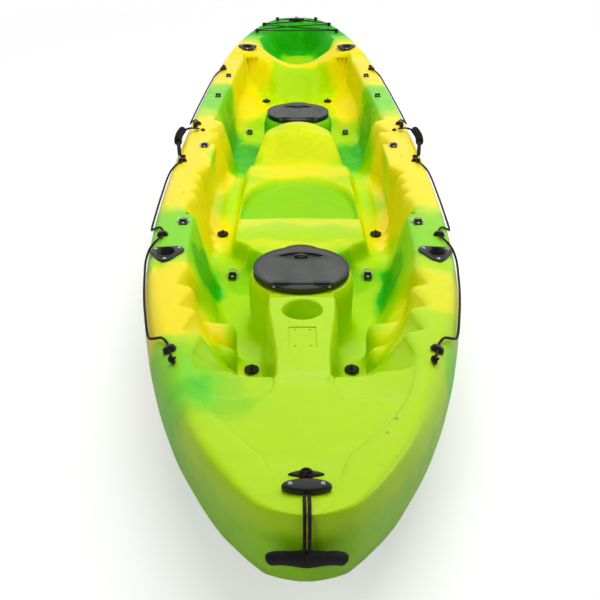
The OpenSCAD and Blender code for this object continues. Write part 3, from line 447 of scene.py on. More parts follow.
PAN_X, PAN_Y, PAN_BACK, PAN_EDGE, PAN_LIP, PAN_POWER = 206, -285, 308, 0.26, 80, 2.3
SCOOP_X, SCOOP_HALF, SCOOP_L, SCOOP_DEEP, SCOOP_EDGE = 132, 74, 92, 10, 0.22
FLUTE_X, FLUTE_Y, FLUTE_W, FLUTE_H, FLUTE_FADE = (247, 286), (-265, 205), 15, 7, (40, 60)
RIB_X, RIB_Y, RIB_CROSS_Y, RIB_W, RIB_CROSS_W, RIB_H, RIB_FADE = 58, (1470, 1690), 1585, 9, 14, 4, 25
STEP_X, STEP_Y, STEP_H, STEP_FADE = 255, (1090, 1268), 9, (20, 130, 12)
DENTS = ((364, -952, 36, 42, -7), (0, 150, 120, 40, -3))


def seat_pan(x, y):
    """Depth of the middle seat's pan, which has an arched back and rises slowly towards it."""
    if not PAN_Y - PAN_LIP < y < PAN_Y + PAN_BACK:
        return 0
    deep = profile([(PAN_Y - PAN_LIP, 0), (PAN_Y, 1.15 * SEAT_DISH), (PAN_Y + PAN_BACK, 0.35 * SEAT_DISH)], y)
    inside = 1 - (x / PAN_X) ** PAN_POWER - max(0, (y - PAN_Y) / PAN_BACK) ** PAN_POWER
    return deep * smooth(inside / PAN_EDGE)


def lip_scoop(x, y):
    """Depth of the shallow scoop in the deck ahead of each footwell, deepest beside the console."""
    inside = 1 - (abs(x - SCOOP_X) / SCOOP_HALF) ** 4 - max(0, (FOOTWELL_Y + 10 - y) / SCOOP_L) ** 3
    fade = 1 - 0.75 * smooth((x - SCOOP_X + 10) / SCOOP_HALF)
    return SCOOP_DEEP * fade * smooth(inside / SCOOP_EDGE) * (1 - smooth((y - FOOTWELL_Y - 30) / 40))


def relief(x, y):
    """Height of the shallow moulded forms: seat pan, scoops, flutes, cargo ribs, deck step and dents."""
    x = abs(x)
    rise = -seat_pan(x, y)
    if y < FOOTWELL_Y + 70:
        rise -= lip_scoop(x, y)
    flute = max(smooth(1.5 - abs(x - fx) / FLUTE_W) for fx in FLUTE_X)
    flute *= smooth((y - FLUTE_Y[0]) / FLUTE_FADE[0]) * smooth((FLUTE_Y[1] - y) / FLUTE_FADE[1])
    rise += FLUTE_H * flute
    stem = smooth((y - RIB_Y[0]) / RIB_FADE) * smooth((RIB_Y[1] - y) / RIB_FADE)
    stem *= smooth(1.5 - abs(x - RIB_X) / RIB_W)
    cross = smooth(1.6 - abs(y - RIB_CROSS_Y) / RIB_CROSS_W) * smooth((RIB_X + 6 - x) / 8)
    rise += RIB_H * max(stem, cross)
    step = smooth((y - STEP_Y[0]) / STEP_FADE[1]) * (1 - smooth((y - STEP_Y[1]) / STEP_FADE[2]))
    rise -= STEP_H * smooth((x - STEP_X) / STEP_FADE[0]) * step
    for dx, dy, rx, ry, height in DENTS:
        away = ((x - dx) / rx) ** 2 + ((y - dy) / ry) ** 2
        if away < 1:
            rise += height * (1 - away) ** 2
    return rise


def section_row(y):
    half = half_section(y)
    ends = [(-half[1][0], half[1][1])] + half + [(-half[-2][0], half[-2][1])]
    row = []
    for i, (x, z) in enumerate(spline(ends, LINE_CUTS)):
        lift = relief(x, y) if i < TOP_COUNT else 0
        row.append((max(0, x), y, max(0, z + lift)))
    return row


def loft(rows):
    """Closed mesh through half sections (rows of x, y, z points), mirrored about the centreline."""
    rings = [row + [(-x, y, z) for x, y, z in row[-2:0:-1]] for row in rows]
    n, m = len(rings[0]), len(rings)
    points = [p for ring in rings for p in ring]
    faces = []
    for i in range(m - 1):
        for j in range(n):
            k = (j + 1) % n
            faces.append((i * n + j, (i + 1) * n + j, (i + 1) * n + k, i * n + k))
    for ring, turn in ((0, False), (m - 1, True)):
        middle = [(a + b) / 2 for a, b in zip(rings[ring][0], rings[ring][n // 2])]
        points.append(tuple(middle))
        for j in range(n):
            a, b = ring * n + j, ring * n + (j + 1) % n
            faces.append((len(points) - 1, b, a) if turn else (len(points) - 1, a, b))
    return points, faces


def solid(name, points, faces, uvs=()):
    """A mesh object from millimetre points, with its faces turned outwards and a UV map if one is given."""
    mesh = bpy.data.meshes.new(name)
    mesh.from_pydata([(x * MM, y * MM, z * MM) for x, y, z in points], [], faces)
    if uvs:
        for loop, uv in zip(mesh.uv_layers.new(name="along").data, uvs):
            loop.uv = uv
    shape = bmesh.new()
    shape.from_mesh(mesh)
    bmesh.ops.recalc_face_normals(shape, faces=shape.faces)
    shape.to_mesh(mesh)
    shape.free()
    return add_object(name, mesh)


def bake(piece):
    """Applies the piece's modifiers to its own mesh."""
    graph = bpy.context.evaluated_depsgraph_get()
    old = piece.data
    piece.data = bpy.data.meshes.new_from_object(piece.evaluated_get(graph))
    piece.modifiers.clear()
    bpy.data.meshes.remove(old)


def cut_away(piece, cutters):
    """Cuts the closed cutters out of a closed piece, and removes the cutters."""
    for cutter in cutters:
        change = piece.modifiers.new("cut", "BOOLEAN")
        change.operation = "DIFFERENCE"
        change.solver = "MANIFOLD"
        change.object = cutter
    bake(piece)
    for cutter in cutters:
        bpy.data.objects.remove(cutter)


def ring_of(radius, z, segments):
    return [(radius * math.cos(2 * math.pi * i / segments), radius * math.sin(2 * math.pi * i / segments), z)
            for i in range(segments)]


def stacked(layers):
    """A closed form, as points and faces, through outlines of equal count, with a fan at each end."""
    n = len(layers[0])
    points = [p for layer in layers for p in layer]
    faces = [(i * n + j, i * n + (j + 1) % n, (i + 1) * n + (j + 1) % n, (i + 1) * n + j)
             for i in range(len(layers) - 1) for j in range(n)]
    for i, layer in ((0, layers[0]), (len(layers) - 1, layers[-1])):
        points.append(tuple(sum(p[a] for p in layer) / n for a in range(3)))
        for j in range(n):
            a, b = i * n + j, i * n + (j + 1) % n
            faces.append((len(points) - 1, a, b) if i else (len(points) - 1, b, a))
    return points, faces


def moulding(name, forms, seats):
    """A piece made of every form, as stacked gives it, at every seat."""
    points, faces = [], []
    for form_points, form_faces in forms:
        for seat in seats:
            first = len(points)
            points += [tuple(seat @ Vector(p)) for p in form_points]
            faces += [tuple(first + i for i in f) for f in form_faces]
    return solid(name, points, faces)


def smoothed(piece, crease):
    """Shades a piece smooth, apart from edges above the crease angle."""
    piece.data.shade_smooth()
    piece.data.set_sharp_from_angle(angle=math.radians(crease))
    return piece


def at(x, y, z):
    return Matrix.Translation((x, y, z))


def turned(name, outline, place, segments):
    """A cutter turned about z through (radius, z) rows, put at place."""
    return moulding(name, [stacked([ring_of(r, z, segments) for r, z in outline])], [place])


def block(name, size, place, taper=1.0):
    """A four-sided cutter on z = 0, narrowed by taper at its foot."""
    x, y, z = size[0] / 2, size[1] / 2, size[2]
    corners = ((-x, -y), (x, -y), (x, y), (-x, y))
    layers = [[(cx * k, cy * k, level) for cx, cy in corners] for k, level in ((taper, 0), (1, z))]
    return moulding(name, [stacked(layers)], [place])


STATION_STEP, STATION_GAP = 8, 2.5
stations = [BOW_Y + d for d in (0, 3, 8, 15, 24)]
stations += [BOW_Y + 34 + i * STATION_STEP for i in range(int((LENGTH - 60) / STATION_STEP))]
stations += [STERN_Y - d for d in (18, 10, 5, 2, 0)]
for first, pitch, count, _ in (FRONT_TEETH, MID_TEETH, REAR_TEETH):
    stations += [first - (i + t) * pitch for i in range(count) for t in (0, TOOTH_FACE / 2, TOOTH_FACE)]
stations.sort()
stations = [y for i, y in enumerate(stations) if i == 0 or y - stations[i - 1] > STATION_GAP]
hull = solid("hull_moulding", *loft([section_row(y) for y in stations]))

SCUPPERS = ((124, -1104), (252, -300), (145, 1113))
SCUPPER_D = 28
NOTCH_X, NOTCH_Y, NOTCH_Z, NOTCH_SIZE, NOTCH_LEAN, NOTCH_TAPER = 292, -606, 120, (30, 16, 230), 8, 0.25
CUP_Y, CUP_R, CUP_FLOOR_Z = -1112, 47.5, CONSOLE_Z - 70
NECK_R, HOLD_Z, HOLD_W, HOLD_L = 100, 26, 480, 380
PLATE_Y, PLATE_W, PLATE_L, PLATE_DEEP = -1242, 63, 92, 2
GROOVE_W, DIMPLE_X, DIMPLE_Y, DIMPLE_R = 2.4, 17, 35, 3
PATCH_Y, PATCH_W, PATCH_L, PATCH_DEEP = 258, 56, 70, 2.2
FLUTE_TOP, FLUTE_FOOT, FLUTE_TALL, FLUTE_LEAN, FLUTE_SEAT = 66, 26, 96, 24, (219, 1247, 228)
ROD_HOLE_D = 52.5
DRAIN_Z, DRAIN_HOLE_D = 278, 27.5
CLEAR = 40
hull_cutters = []
for side in (1, -1):
    for x, y in SCUPPERS:
        hull_cutters.append(turned("scupper_tube", [(SCUPPER_D / 2, -10), (SCUPPER_D / 2, 300)],
                                   at(side * x, y, 0), 32))
    notch = at(side * NOTCH_X, NOTCH_Y, NOTCH_Z) @ Matrix.Rotation(math.radians(side * NOTCH_LEAN), 4, "Y")
    hull_cutters.append(block("wall_notch", NOTCH_SIZE, notch, NOTCH_TAPER))
hull_cutters.append(turned("cup_pocket", [
    (CUP_R - 6, CUP_FLOOR_Z), (CUP_R - 2, CUP_FLOOR_Z + 3), (CUP_R, CUP_FLOOR_Z + 8), (CUP_R, CONSOLE_Z - 6),
    (CUP_R + 2, CONSOLE_Z - 2), (CUP_R + 6, CONSOLE_Z + 1), (CUP_R + 6, CONSOLE_Z + 60)],
    at(0, CUP_Y, 0), 64))
for y in (FRONT_HATCH_Y, REAR_HATCH_Y):
    floor = floor_z(y) - 8
    hull_cutters.append(turned("hatch_mouth", [
        (70, HOLD_Z), (NECK_R, HOLD_Z + 14), (PEDESTAL_D / 2 - 14, floor),
        (PEDESTAL_D / 2 - 12, PEDESTAL_Z - 16), (NECK_R + 1, PEDESTAL_Z - 8), (NECK_R + 1, PEDESTAL_Z + 60)],
        at(0, y, 0), 64))
    hull_cutters.append(block("hatch_hold", (HOLD_W, HOLD_L, floor - HOLD_Z), at(0, y, HOLD_Z), 0.94))
plate_floor = spine_z(PLATE_Y) - PLATE_DEEP
hull_cutters.append(block("plate_recess", (PLATE_W, PLATE_L, CLEAR), at(0, PLATE_Y, plate_floor), 0.97))
for x, y, wide, long in ((0, -0.5, PLATE_W, GROOVE_W), (0, 0.5, PLATE_W, GROOVE_W),
                         (-0.5, 0, GROOVE_W, PLATE_L), (0.5, 0, GROOVE_W, PLATE_L)):
    groove = at(x * (PLATE_W - GROOVE_W), PLATE_Y + y * (PLATE_L - GROOVE_W), plate_floor - 2)
    hull_cutters.append(block("plate_groove", (wide, long, CLEAR), groove))
for x in (-DIMPLE_X, DIMPLE_X):
    for y in (-DIMPLE_Y, DIMPLE_Y):
        hull_cutters.append(turned("plate_dimple", [(DIMPLE_R - 1, 0), (DIMPLE_R, 1), (DIMPLE_R, 20)],
                                   at(x, PLATE_Y + y, plate_floor - 2.5), 20))
patch_tilt = math.atan2(spine_z(PATCH_Y + 32) - spine_z(PATCH_Y - 32), 64)
patch = at(0, PATCH_Y, spine_z(PATCH_Y)) @ Matrix.Rotation(patch_tilt, 4, "X")
hull_cutters.append(block("backrest_patch", (PATCH_W, PATCH_L, CLEAR), patch @ at(0, 0, -PATCH_DEEP), 0.95))
hull_cutters.append(turned("backrest_dimple", [(3, -5), (4, -3), (4, 20)], patch, 20))
for side in (1, -1):
    face = at(side * FLUTE_SEAT[0], *FLUTE_SEAT[1:]) @ Matrix.Rotation(math.radians(-FLUTE_LEAN), 4, "X")
    for i in (-1, 0, 1):
        layers = [[(i * (w + 2) + sx * w / 2, sy * 9, z)
                   for sx, sy in ((-1, -1), (1, -1), (0.7, 1), (-0.7, 1))]
                  for w, z in ((FLUTE_FOOT / 3 - 2, 0), (FLUTE_TOP / 3 - 2, FLUTE_TALL))]
        hull_cutters.append(moulding("pillar_flute", [stacked(layers)], [face]))
rod_mounts = [m for m in frame["record"]["mounts"] if m["name"].startswith("rod_bore")]
for mount in rod_mounts:
    aim = Vector(mount["axis"]).to_track_quat("Z", "Y").to_matrix().to_4x4()
    hull_cutters.append(turned("rod_hole", [(ROD_HOLE_D / 2, -105), (ROD_HOLE_D / 2, 140)],
                               Matrix.Translation(Vector(mount["pos_m"]) / MM) @ aim, 40))
hull_cutters.append(turned("drain_hole", [(DRAIN_HOLE_D / 2, 0), (DRAIN_HOLE_D / 2, 70)],
                           at(0, STERN_Y + 20, DRAIN_Z) @ Matrix.Rotation(math.pi / 2, 4, "X"), 32))
cut_away(hull, hull_cutters)
smoothed(hull, 50)

# The two dyes are swirled through the lime powder before moulding. Each patch is a soft-edged oval on the
# deck: x, y, half width, half length, and how far it goes towards yellow (+1) or green (-1).
# The pairs lie on both sides. The narrow green ovals on the inner side walls of the cockpit, at x ±258
# and ±270, are partly the moulding's own green and partly painted shade on those walls.
DYE_PATCHES = (
    (-315, -1430, 135, 140, -0.48), (-175, -1480, 80, 75, -0.3), (370, -1385, 78, 130, -0.85),
    (-320, -1120, 150, 175, 0.95), (-150, -1290, 60, 120, -0.2), (305, -1050, 85, 125, 0.5),
    (205, -1150, 45, 110, 0.3), (-345, -735, 115, 165, -0.5), (-258, -750, 34, 150, -0.8),
    (345, -715, 115, 185, -0.42), (258, -750, 34, 150, -0.75), (0, -800, 130, 90, -0.25),
    (0, -300, 270, 330, 0.42), (0, -470, 210, 60, -0.45), (0, 60, 240, 60, 0.45), (0, 240, 170, 150, 0.4),
    (0, 540, 145, 130, -1.0), (-335, 610, 95, 170, -0.6), (340, 610, 95, 180, -0.6), (0, 1010, 150, 140, 0.3),
    (0, 1352, 190, 24, 0.75))
DYE_PAIRS = (
    (160, -640, 60, 70, -0.35), (370, -330, 120, 240, 0.9), (365, 110, 100, 230, 0.95),
    (215, 430, 75, 200, -0.9), (270, 590, 30, 190, -0.5), (330, 1010, 120, 210, 0.9),
    (215, 1030, 75, 190, 0.7), (250, 1340, 130, 110, 0.9))
DYE_EDGE, SWIRL_FINE, SWIRL_WIDE, DYE_SEED = 6, 0.006, 36, 11
PAN_DYE, WELL_DYE, TOPSIDE_GREEN_AND_SHADE, TOPSIDE_COVER = -0.34, -1.0, -0.3, 0.6
WELL_LAG, WELL_RUN, WELL_SIDE, WELL_SIDE_RUN, STERN_START = 22, 26, 12, 20, (1480, 90)
TOPSIDE_TOP, TOPSIDE_RUN, TOPSIDE_SHARE, BOW_SIDES_Y = 25, -40, 0.9, FOOTWELL_Y - 60
RIB_GLOW, RIB_GLOW_Y, RIB_GLOW_R = 0.95, 1500, 75
DECK_SHEEN, MATTE_SHEEN, GLOSSY_SPANS, GLOSSY_RUN = 0.32, 0.1, ((-470, -300), (10, 120)), 40
MATTE_SIDE, MATTE_FORE, MATTE_AFT = (275, -30), (-1010, 60), (1345, -30)


def ramp_up(values, start, run):
    """0 up to start, then rising evenly to 1 over run; a negative run rises the other way."""
    return np.clip((values - start) / run, 0, 1)


def well_share(x, y):
    """How far x, y lies inside the cargo well behind the ridge, 0 to 1."""
    if y <= RIDGE_Y:
        return 0
    behind = smooth((y - RIDGE_Y - WELL_LAG - ridge_lag(abs(x))) / WELL_RUN)
    return behind * smooth((stern_edge(y) + WELL_SIDE - abs(x)) / WELL_SIDE_RUN)


co = np.empty(len(hull.data.vertices) * 3)
hull.data.vertices.foreach_get("co", co)
co = co.reshape(-1, 3) / MM
aside, along = np.abs(co[:, 0]), co[:, 1]
noise.seed_set(DYE_SEED)
swirl = np.array([noise.turbulence_vector(Vector(p) * SWIRL_FINE, 3, False) for p in co])
warped = co[:, :2] + SWIRL_WIDE * (swirl[:, :2] - swirl[:, :2].mean(0))
dye = np.zeros(len(co))
for x, y, rx, ry, value in DYE_PATCHES + DYE_PAIRS + tuple((-pair[0],) + pair[1:] for pair in DYE_PAIRS):
    dye += value / (1 + (((warped[:, 0] - x) / rx) ** 2 + ((warped[:, 1] - y) / ry) ** 2) ** DYE_EDGE)
in_pan = np.array([seat_pan(abs(x), y) / SEAT_DISH for x, y in co[:, :2]])
dye += np.clip(2.2 * in_pan, 0, 1) * (PAN_DYE - dye)
in_well = np.maximum([well_share(x, y) for x, y in co[:, :2]], ramp_up(along, *STERN_START))
rib_glow = np.exp(-((warped[:, 0] / RIB_GLOW_R) ** 2 + ((warped[:, 1] - RIB_GLOW_Y) / RIB_GLOW_R) ** 2) ** 2)
dye += in_well * (WELL_DYE + RIB_GLOW * rib_glow - dye)
# Below the gunwale the sides turn greener: part the moulding's green, part painted shade on the lower sides.
seam = np.interp(along, stations, [seam_z(y) for y in stations])
outer = np.interp(along, stations, [TOPSIDE_SHARE * half_beam(y) for y in stations])
under = ramp_up(co[:, 2], seam + TOPSIDE_TOP, TOPSIDE_RUN) * ((aside > outer) | (along < BOW_SIDES_Y))
dye = dye * (1 - TOPSIDE_COVER * under) + under * TOPSIDE_GREEN_AND_SHADE
matte = ramp_up(aside, *MATTE_SIDE) * ramp_up(along, *MATTE_FORE) * ramp_up(along, *MATTE_AFT)
for low, high in GLOSSY_SPANS:
    matte *= 1 - ramp_up(along, low, GLOSSY_RUN) * ramp_up(along, high, -GLOSSY_RUN)
matte = np.maximum(np.maximum(matte, in_well), np.clip(2 * in_pan, 0, 1))
sheen = DECK_SHEEN + matte * (MATTE_SHEEN - DECK_SHEEN)
# The attribute holds the dyes and the painted shade on the inner side walls and the lower sides.
for name, values in (("sheen", sheen), ("dye", np.clip(dye, -1, 1))):
    hull.data.attributes.new(name, "FLOAT", "POINT").data.foreach_set("value", values)


def rgb(red, green, blue):
    """Screen colour, 0 to 255, as the linear colour a shader takes."""
    return tuple(((v / 255 + 0.055) / 1.055) ** 2.4 if v > 10 else v / 255 / 12.92
                 for v in (red, green, blue)) + (1.0,)


def add_ramp(tree, value, stops):
    """Output of a colour ramp over value, through (position, screen colour) stops."""
    ramp = add_node(tree, "ShaderNodeValToRGB", [("Fac", value)])
    while len(ramp.color_ramp.elements) < len(stops):
        ramp.color_ramp.elements.new(0.5)
    for element, (position, colour) in zip(ramp.color_ramp.elements, stops):
        element.position = position
        element.color = rgb(*colour)
    return ramp.outputs["Color"]


def add_bump(tree, shader, relief, height):
    """Relief on a shader, its height in metres."""
    bump = add_node(tree, "ShaderNodeBump", [("Height", relief), ("Distance", height)])
    feed(tree, shader, [("Normal", bump.outputs["Normal"])])


def add_noise(tree, place, scale, detail, kind="ShaderNodeTexNoise", value="Fac", **more):
    """Output of a noise at place."""
    inputs = [("Vector", place), ("Scale", scale), ("Detail", detail)]
    return add_node(tree, kind, inputs + list(more.items())).outputs[value]


marbled, marbling, poly = new_material("marbled_polyethylene")
poly_place = add_node(marbling, "ShaderNodeTexCoord").outputs["Object"]
add_bump(marbling, poly, add_noise(marbling, poly_place, 300, 2.0), 0.0003)
streaks = add_noise(marbling, poly_place, 24.0, 6.0, Roughness=0.62, Distortion=0.6)
# The hull's colour comes from its dyes and from the painted shade stored with them.
dye_and_shade_attribute, shone = (add_node(marbling, "ShaderNodeAttribute", attribute_name=name, attribute_type="GEOMETRY")
               for name in ("dye", "sheen"))
swirled = compute(marbling, "MULTIPLY_ADD", streaks, 0.5, dye_and_shade_attribute.outputs["Fac"])
lime = add_ramp(marbling, remap(marbling, swirled, (-0.75, 1.25), (0, 1)), [
    (0.0, (28, 176, 2)), (0.14, (96, 208, 8)), (0.24, (128, 219, 14)), (0.33, (146, 214, 0)),
    (0.4, (164, 220, 0)), (0.47, (180, 227, 0)), (0.58, (190, 229, 0)), (0.74, (228, 233, 0)),
    (0.86, (247, 233, 0)), (1.0, (250, 228, 0))])
worn = remap(marbling, add_noise(marbling, poly_place, 26.0, 3.0), (0.3, 0.7), (0.28, 0.42))
feed(marbling, poly, [
    ("Base Color", lime), ("Specular IOR Level", shone.outputs["Fac"]), ("Roughness", worn)])


def finish_piece(piece, material, body, slot, *replaced):
    """Gives a piece its material and its body, and hides the CAD nodes that it stands for; slot is not used.
    """
    piece.data.materials.clear()
    piece.data.materials.append(material)
    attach(piece, body)
    if replaced:
        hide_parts(*replaced)
    return piece


finish_piece(hull, marbled, "kayak", "hull", "hull")

# Hatches: each a nylon ring screwed down on a rubber seal, with a lid on two steel hinge pins
# and a turn latch in a sunk lens. The lid's top has a pebbled panel inside a plain black rim.
WELD_M, FLAT_ANGLE, CREASE_ANGLE = 1e-5, 1, 35


def dressed(node, name, ease, segments=2):
    """A copy of a CAD node with its triangles joined into flats and its hard edges eased."""
    shape = bmesh.new()
    shape.from_mesh(nodes[node].data)
    bmesh.ops.remove_doubles(shape, verts=shape.verts, dist=WELD_M)
    bmesh.ops.dissolve_limit(shape, angle_limit=math.radians(FLAT_ANGLE), verts=shape.verts,
                             edges=shape.edges)
    hard = [e for e in shape.edges
            if len(e.link_faces) == 2 and e.calc_face_angle(0) > math.radians(CREASE_ANGLE)]
    bmesh.ops.bevel(shape, geom=hard, offset=ease * MM, segments=segments, profile=0.5, affect="EDGES",
                    clamp_overlap=True)
    mesh = bpy.data.meshes.new(name)
    shape.to_mesh(mesh)
    shape.free()
    return smoothed(add_object(name, mesh), 45)


def carried(node, name, ease, material, slot, body="kayak", segments=2):
    """A finished piece with the shape of one CAD node."""
    return finish_piece(dressed(node, name, ease, segments), material, body, slot, node)


def mottled(name, grain, mottle, stops, roughness=0.5, specular=0.5, metallic=0.0, wear=None):
    """A material with fine relief, coloured by a noise that also roughens it where it wears.

    grain is the relief's height in metres and its noise. mottle is the colour's noise, or None for the same.
    """
    material, tree, shader = new_material(name, roughness, specular)
    place = add_node(tree, "ShaderNodeTexCoord").outputs["Object"]
    relief = add_noise(tree, place, *grain[1:])
    add_bump(tree, shader, relief, grain[0])
    cloud = add_noise(tree, place, *mottle) if mottle else relief
    feed(tree, shader, [("Base Color", add_ramp(tree, cloud, stops)), ("Metallic", metallic)])
    if wear:
        feed(tree, shader, [("Roughness", remap(tree, cloud, (0, 1), wear))])
    return material


nylon = mottled("black_nylon", (0.00012, 1400, 2.0), (55.0, 5.0), [
    (0.3, (20, 20, 21)), (0.62, (30, 30, 31)), (0.8, (46, 46, 46))], wear=(0.3, 0.56))
pebbled = mottled("pebbled_lid_panel", (0.0005, 520, 2.0, "ShaderNodeTexVoronoi", "Distance"), (18.0, 6.0), [
    (0.3, (58, 61, 59)), (0.7, (82, 86, 82))], roughness=0.55)
rubber = mottled("black_rubber", (0.0002, 700, 4.0), (34.0, 4.0), [
    (0.35, (24, 24, 24)), (0.75, (44, 43, 42))], roughness=0.68, specular=0.35)
steel = mottled("stainless_steel", (0.00004, 900, 2.0), (240.0, 3.0), [
    (0.3, (196, 198, 201)), (0.7, (226, 227, 229))], metallic=0.6, wear=(0.16, 0.34))

LID_RIM, LID_SUNK, LID_CROWN = 9, 1.1, 1.5
TOP_FACING, TOP_WITHIN_M, TOP_AREA_M2 = 0.99, 0.0002, 1e-4
LUG_X, LUG_W, LUG_L, LUG_IN = 52, 42, 18, 20
LUG_CORNERS = ((-1, -0.7), (-0.9, -1), (0.9, -1), (1, -0.7), (1, 0.7), (0.9, 1), (-0.9, 1), (-1, 0.7))
LUG_RISE = ((1, -2), (1, 2.2), (0.94, 3.2), (0.84, 3.6))
lug = stacked([[(sx * LUG_W / 2 * k, sy * LUG_L / 2 * k, z) for sx, sy in LUG_CORNERS] for k, z in LUG_RISE])
for end in ("front", "rear"):
    hatch = f"{end}_hatch"
    carried(f"{hatch}_seal", f"{end}_seal", 0.4, rubber, "rubber")
    carried(f"{hatch}_ring", f"{end}_ring", 0.9, nylon, "black_plastic")
    pins = f"{hatch}_hinge_pins"
    carried(pins, f"{end}_pins", 0.5, steel, "steel", nodes[pins]["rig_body"])
    lid = carried(f"{hatch}_lid", f"{end}_lid", 1.0, nylon, "black_plastic", f"{end}_lid")
    lid.data.materials.append(pebbled)
    shape = bmesh.new()
    shape.from_mesh(lid.data)
    level = max(v.co.z for v in shape.verts)
    panel = [f for f in shape.faces if f.normal.z > TOP_FACING and f.calc_area() > TOP_AREA_M2
             and f.calc_center_median().z > level - TOP_WITHIN_M]
    bmesh.ops.inset_region(shape, faces=panel, thickness=LID_RIM * MM, depth=-LID_SUNK * MM,
                           use_even_offset=True)
    for face in panel:
        face.material_index = 1
    shape.to_mesh(lid.data)
    shape.free()
    low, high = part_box(f"{hatch}_lid")
    seats = [at(x, low[1] / MM + LUG_IN, high[2] / MM - LID_CROWN) for x in (-LUG_X, LUG_X)]
    lugs = smoothed(moulding(f"{end}_lid_lugs", [lug], seats), 50)
    finish_piece(lugs, nylon, f"{end}_lid", "black_plastic")
    carried(f"{hatch}_latch", f"{end}_latch_knob", 1.0, nylon, "black_plastic", f"{end}_latch")

# Scupper plugs: moulded rubber bungs with a flat head and a finger loop,
# pushed down by hand into the six scupper tubes.
for side in ("port", "starboard"):
    for where in ("front", "mid", "rear"):
        plug = f"scupper_plug_{where}_{side}"
        carried(plug, f"{plug}_bung", 0.9, rubber, "rubber", plug)

# Pad-eyes: small black nylon clips, each a rounded base and a bent strap under one screw.
# Eight of them hold a loose steel D-ring, bent from wire, that lies back on the deck.
deck_tree = BVHTree.FromPolygons([v.co for v in nodes["hull"].data.vertices],
                                 [p.vertices for p in nodes["hull"].data.polygons])
SEAT_GAP, SEAT_REACH = 0.8, 16
TIP_NARROW, TIP_LONG = 0.72, 0.3
MIRROR = Matrix.Scale(-1, 4, (1, 0, 0))


def deck_z(x, y):
    """Height of the solid's top at x, y, in millimetres."""
    return deck_tree.ray_cast(Vector((x * MM, y * MM, 1)), Vector((0, 0, -1)))[0].z / MM


def deck_normal(x, y):
    r = SEAT_REACH
    across = Vector((2 * r, 0, deck_z(x + r, y) - deck_z(x - r, y)))
    return across.cross(Vector((0, 2 * r, deck_z(x, y + r) - deck_z(x, y - r)))).normalized()


def above_deck(x, y, h=0):
    return Vector((x, y, deck_z(x, y))) + (SEAT_GAP + h) * deck_normal(x, y)


def deck_frame(x, y):
    """Matrix of a fitting's seat on the deck, z along the deck's normal."""
    n = deck_normal(x, y)
    across = Vector((0, 1, 0)).cross(n).normalized()
    return Matrix.Translation(above_deck(x, y)) @ Matrix((across, n.cross(across), n)).transposed().to_4x4()


def both_sides(seats):
    return [own for seat in seats for own in (seat, MIRROR @ seat)]


def on_side(side, path):
    """A port path, or its mirror image for starboard."""
    return path if side == "port" else [MIRROR @ p for p in path]


def swept(name, path, radius, sides=12, closed=False, flat=1.0, up=(0, 0, 1)):
    """A tube along millimetre points, flat times as high as wide, with a UV map round and along it."""
    path = [Vector(p) for p in path]
    n = len(path)
    radii = radius if isinstance(radius, list) else [radius] * n
    points, along, run = [], [], 0.0
    for i, p in enumerate(path):
        before = path[i - 1] if closed or i else p
        after = path[(i + 1) % n] if closed or i < n - 1 else p
        tangent = (after - before).normalized()
        if i == 0:
            side = tangent.cross(Vector(up)).normalized()
        else:
            side = (side - tangent * side.dot(tangent)).normalized()
            run += (p - path[i - 1]).length
        top = side.cross(tangent)
        wide = radii[i] if closed or 0 < i < n - 1 else TIP_NARROW * radii[i]
        for a in (2 * math.pi * k / sides for k in range(sides)):
            points.append(p + wide * (math.cos(a) * side + flat * math.sin(a) * top))
        along.append(run)
    faces, uvs = [], []
    for i in range(n if closed else n - 1):
        j = (i + 1) % n
        reach = along[j] if j else along[i] + (path[0] - path[-1]).length
        for k in range(sides):
            m = (k + 1) % sides
            faces.append((i * sides + k, i * sides + m, j * sides + m, j * sides + k))
            uvs += [((k + u) / sides, v * MM)
                    for u, v in ((0, along[i]), (1, along[i]), (1, reach), (0, reach))]
    if not closed:
        for ring, inner in ((0, 1), (n - 1, n - 2)):
            points.append(path[ring] + (path[ring] - path[inner]).normalized() * TIP_LONG * radii[0])
            for k in range(sides):
                a, b = ring * sides + k, ring * sides + (k + 1) % sides
                faces.append((len(points) - 1, b, a) if ring == 0 else (len(points) - 1, a, b))
                uvs += [(k / sides, along[ring] * MM)] * 3
    piece = solid(name, points, faces, uvs)
    piece.data.shade_smooth()
    return piece


FLOOR_RINGS = {"front_floor": (201, -610), "rear_floor": (210, 770)}
DECK_RINGS = {"fore_deck": (93, -677), "mid_deck": (98, -15)}
DECK_EYES = ((76, 626), (81, 924))
PAD_T, RING_R, RING_L, RING_WIRE = 3, 16, 10, 2
PLATE_HALF, PLATE_BACK, PLATE_ROUND = (9, 8), 5.4, 3
CLIP_LINE = ((-15.4, 3.2, 9), (-11.4, 3.4, 10), (-7.4, 3.6, 10), (-5, 5.6, 10), (-3.6, 8.4, 10),
             (0, 10.4, 10), (3.6, 8.4, 10), (5, 5.4, 9.6), (5.3, 2.6, 9.2))
CLIP_T = 1.2
ring_seats = {name: deck_frame(x, y) for name, (x, y) in FLOOR_RINGS.items()}
ring_seats.update({name: deck_frame(half_beam(y) - inset, y) for name, (inset, y) in DECK_RINGS.items()})
eye_seats = list(ring_seats.values()) + [deck_frame(half_beam(y) - inset, y) for inset, y in DECK_EYES]
plate_corners = [(sx * PLATE_HALF[0] + PLATE_ROUND * math.cos(a),
                  sy * PLATE_HALF[1] - PLATE_BACK + PLATE_ROUND * math.sin(a))
                 for sx, sy, start in ((1, -1, -90), (1, 1, 0), (-1, 1, 90), (-1, -1, 180))
                 for a in (math.radians(start + 30 * i) for i in range(4))]
clip_layers = []
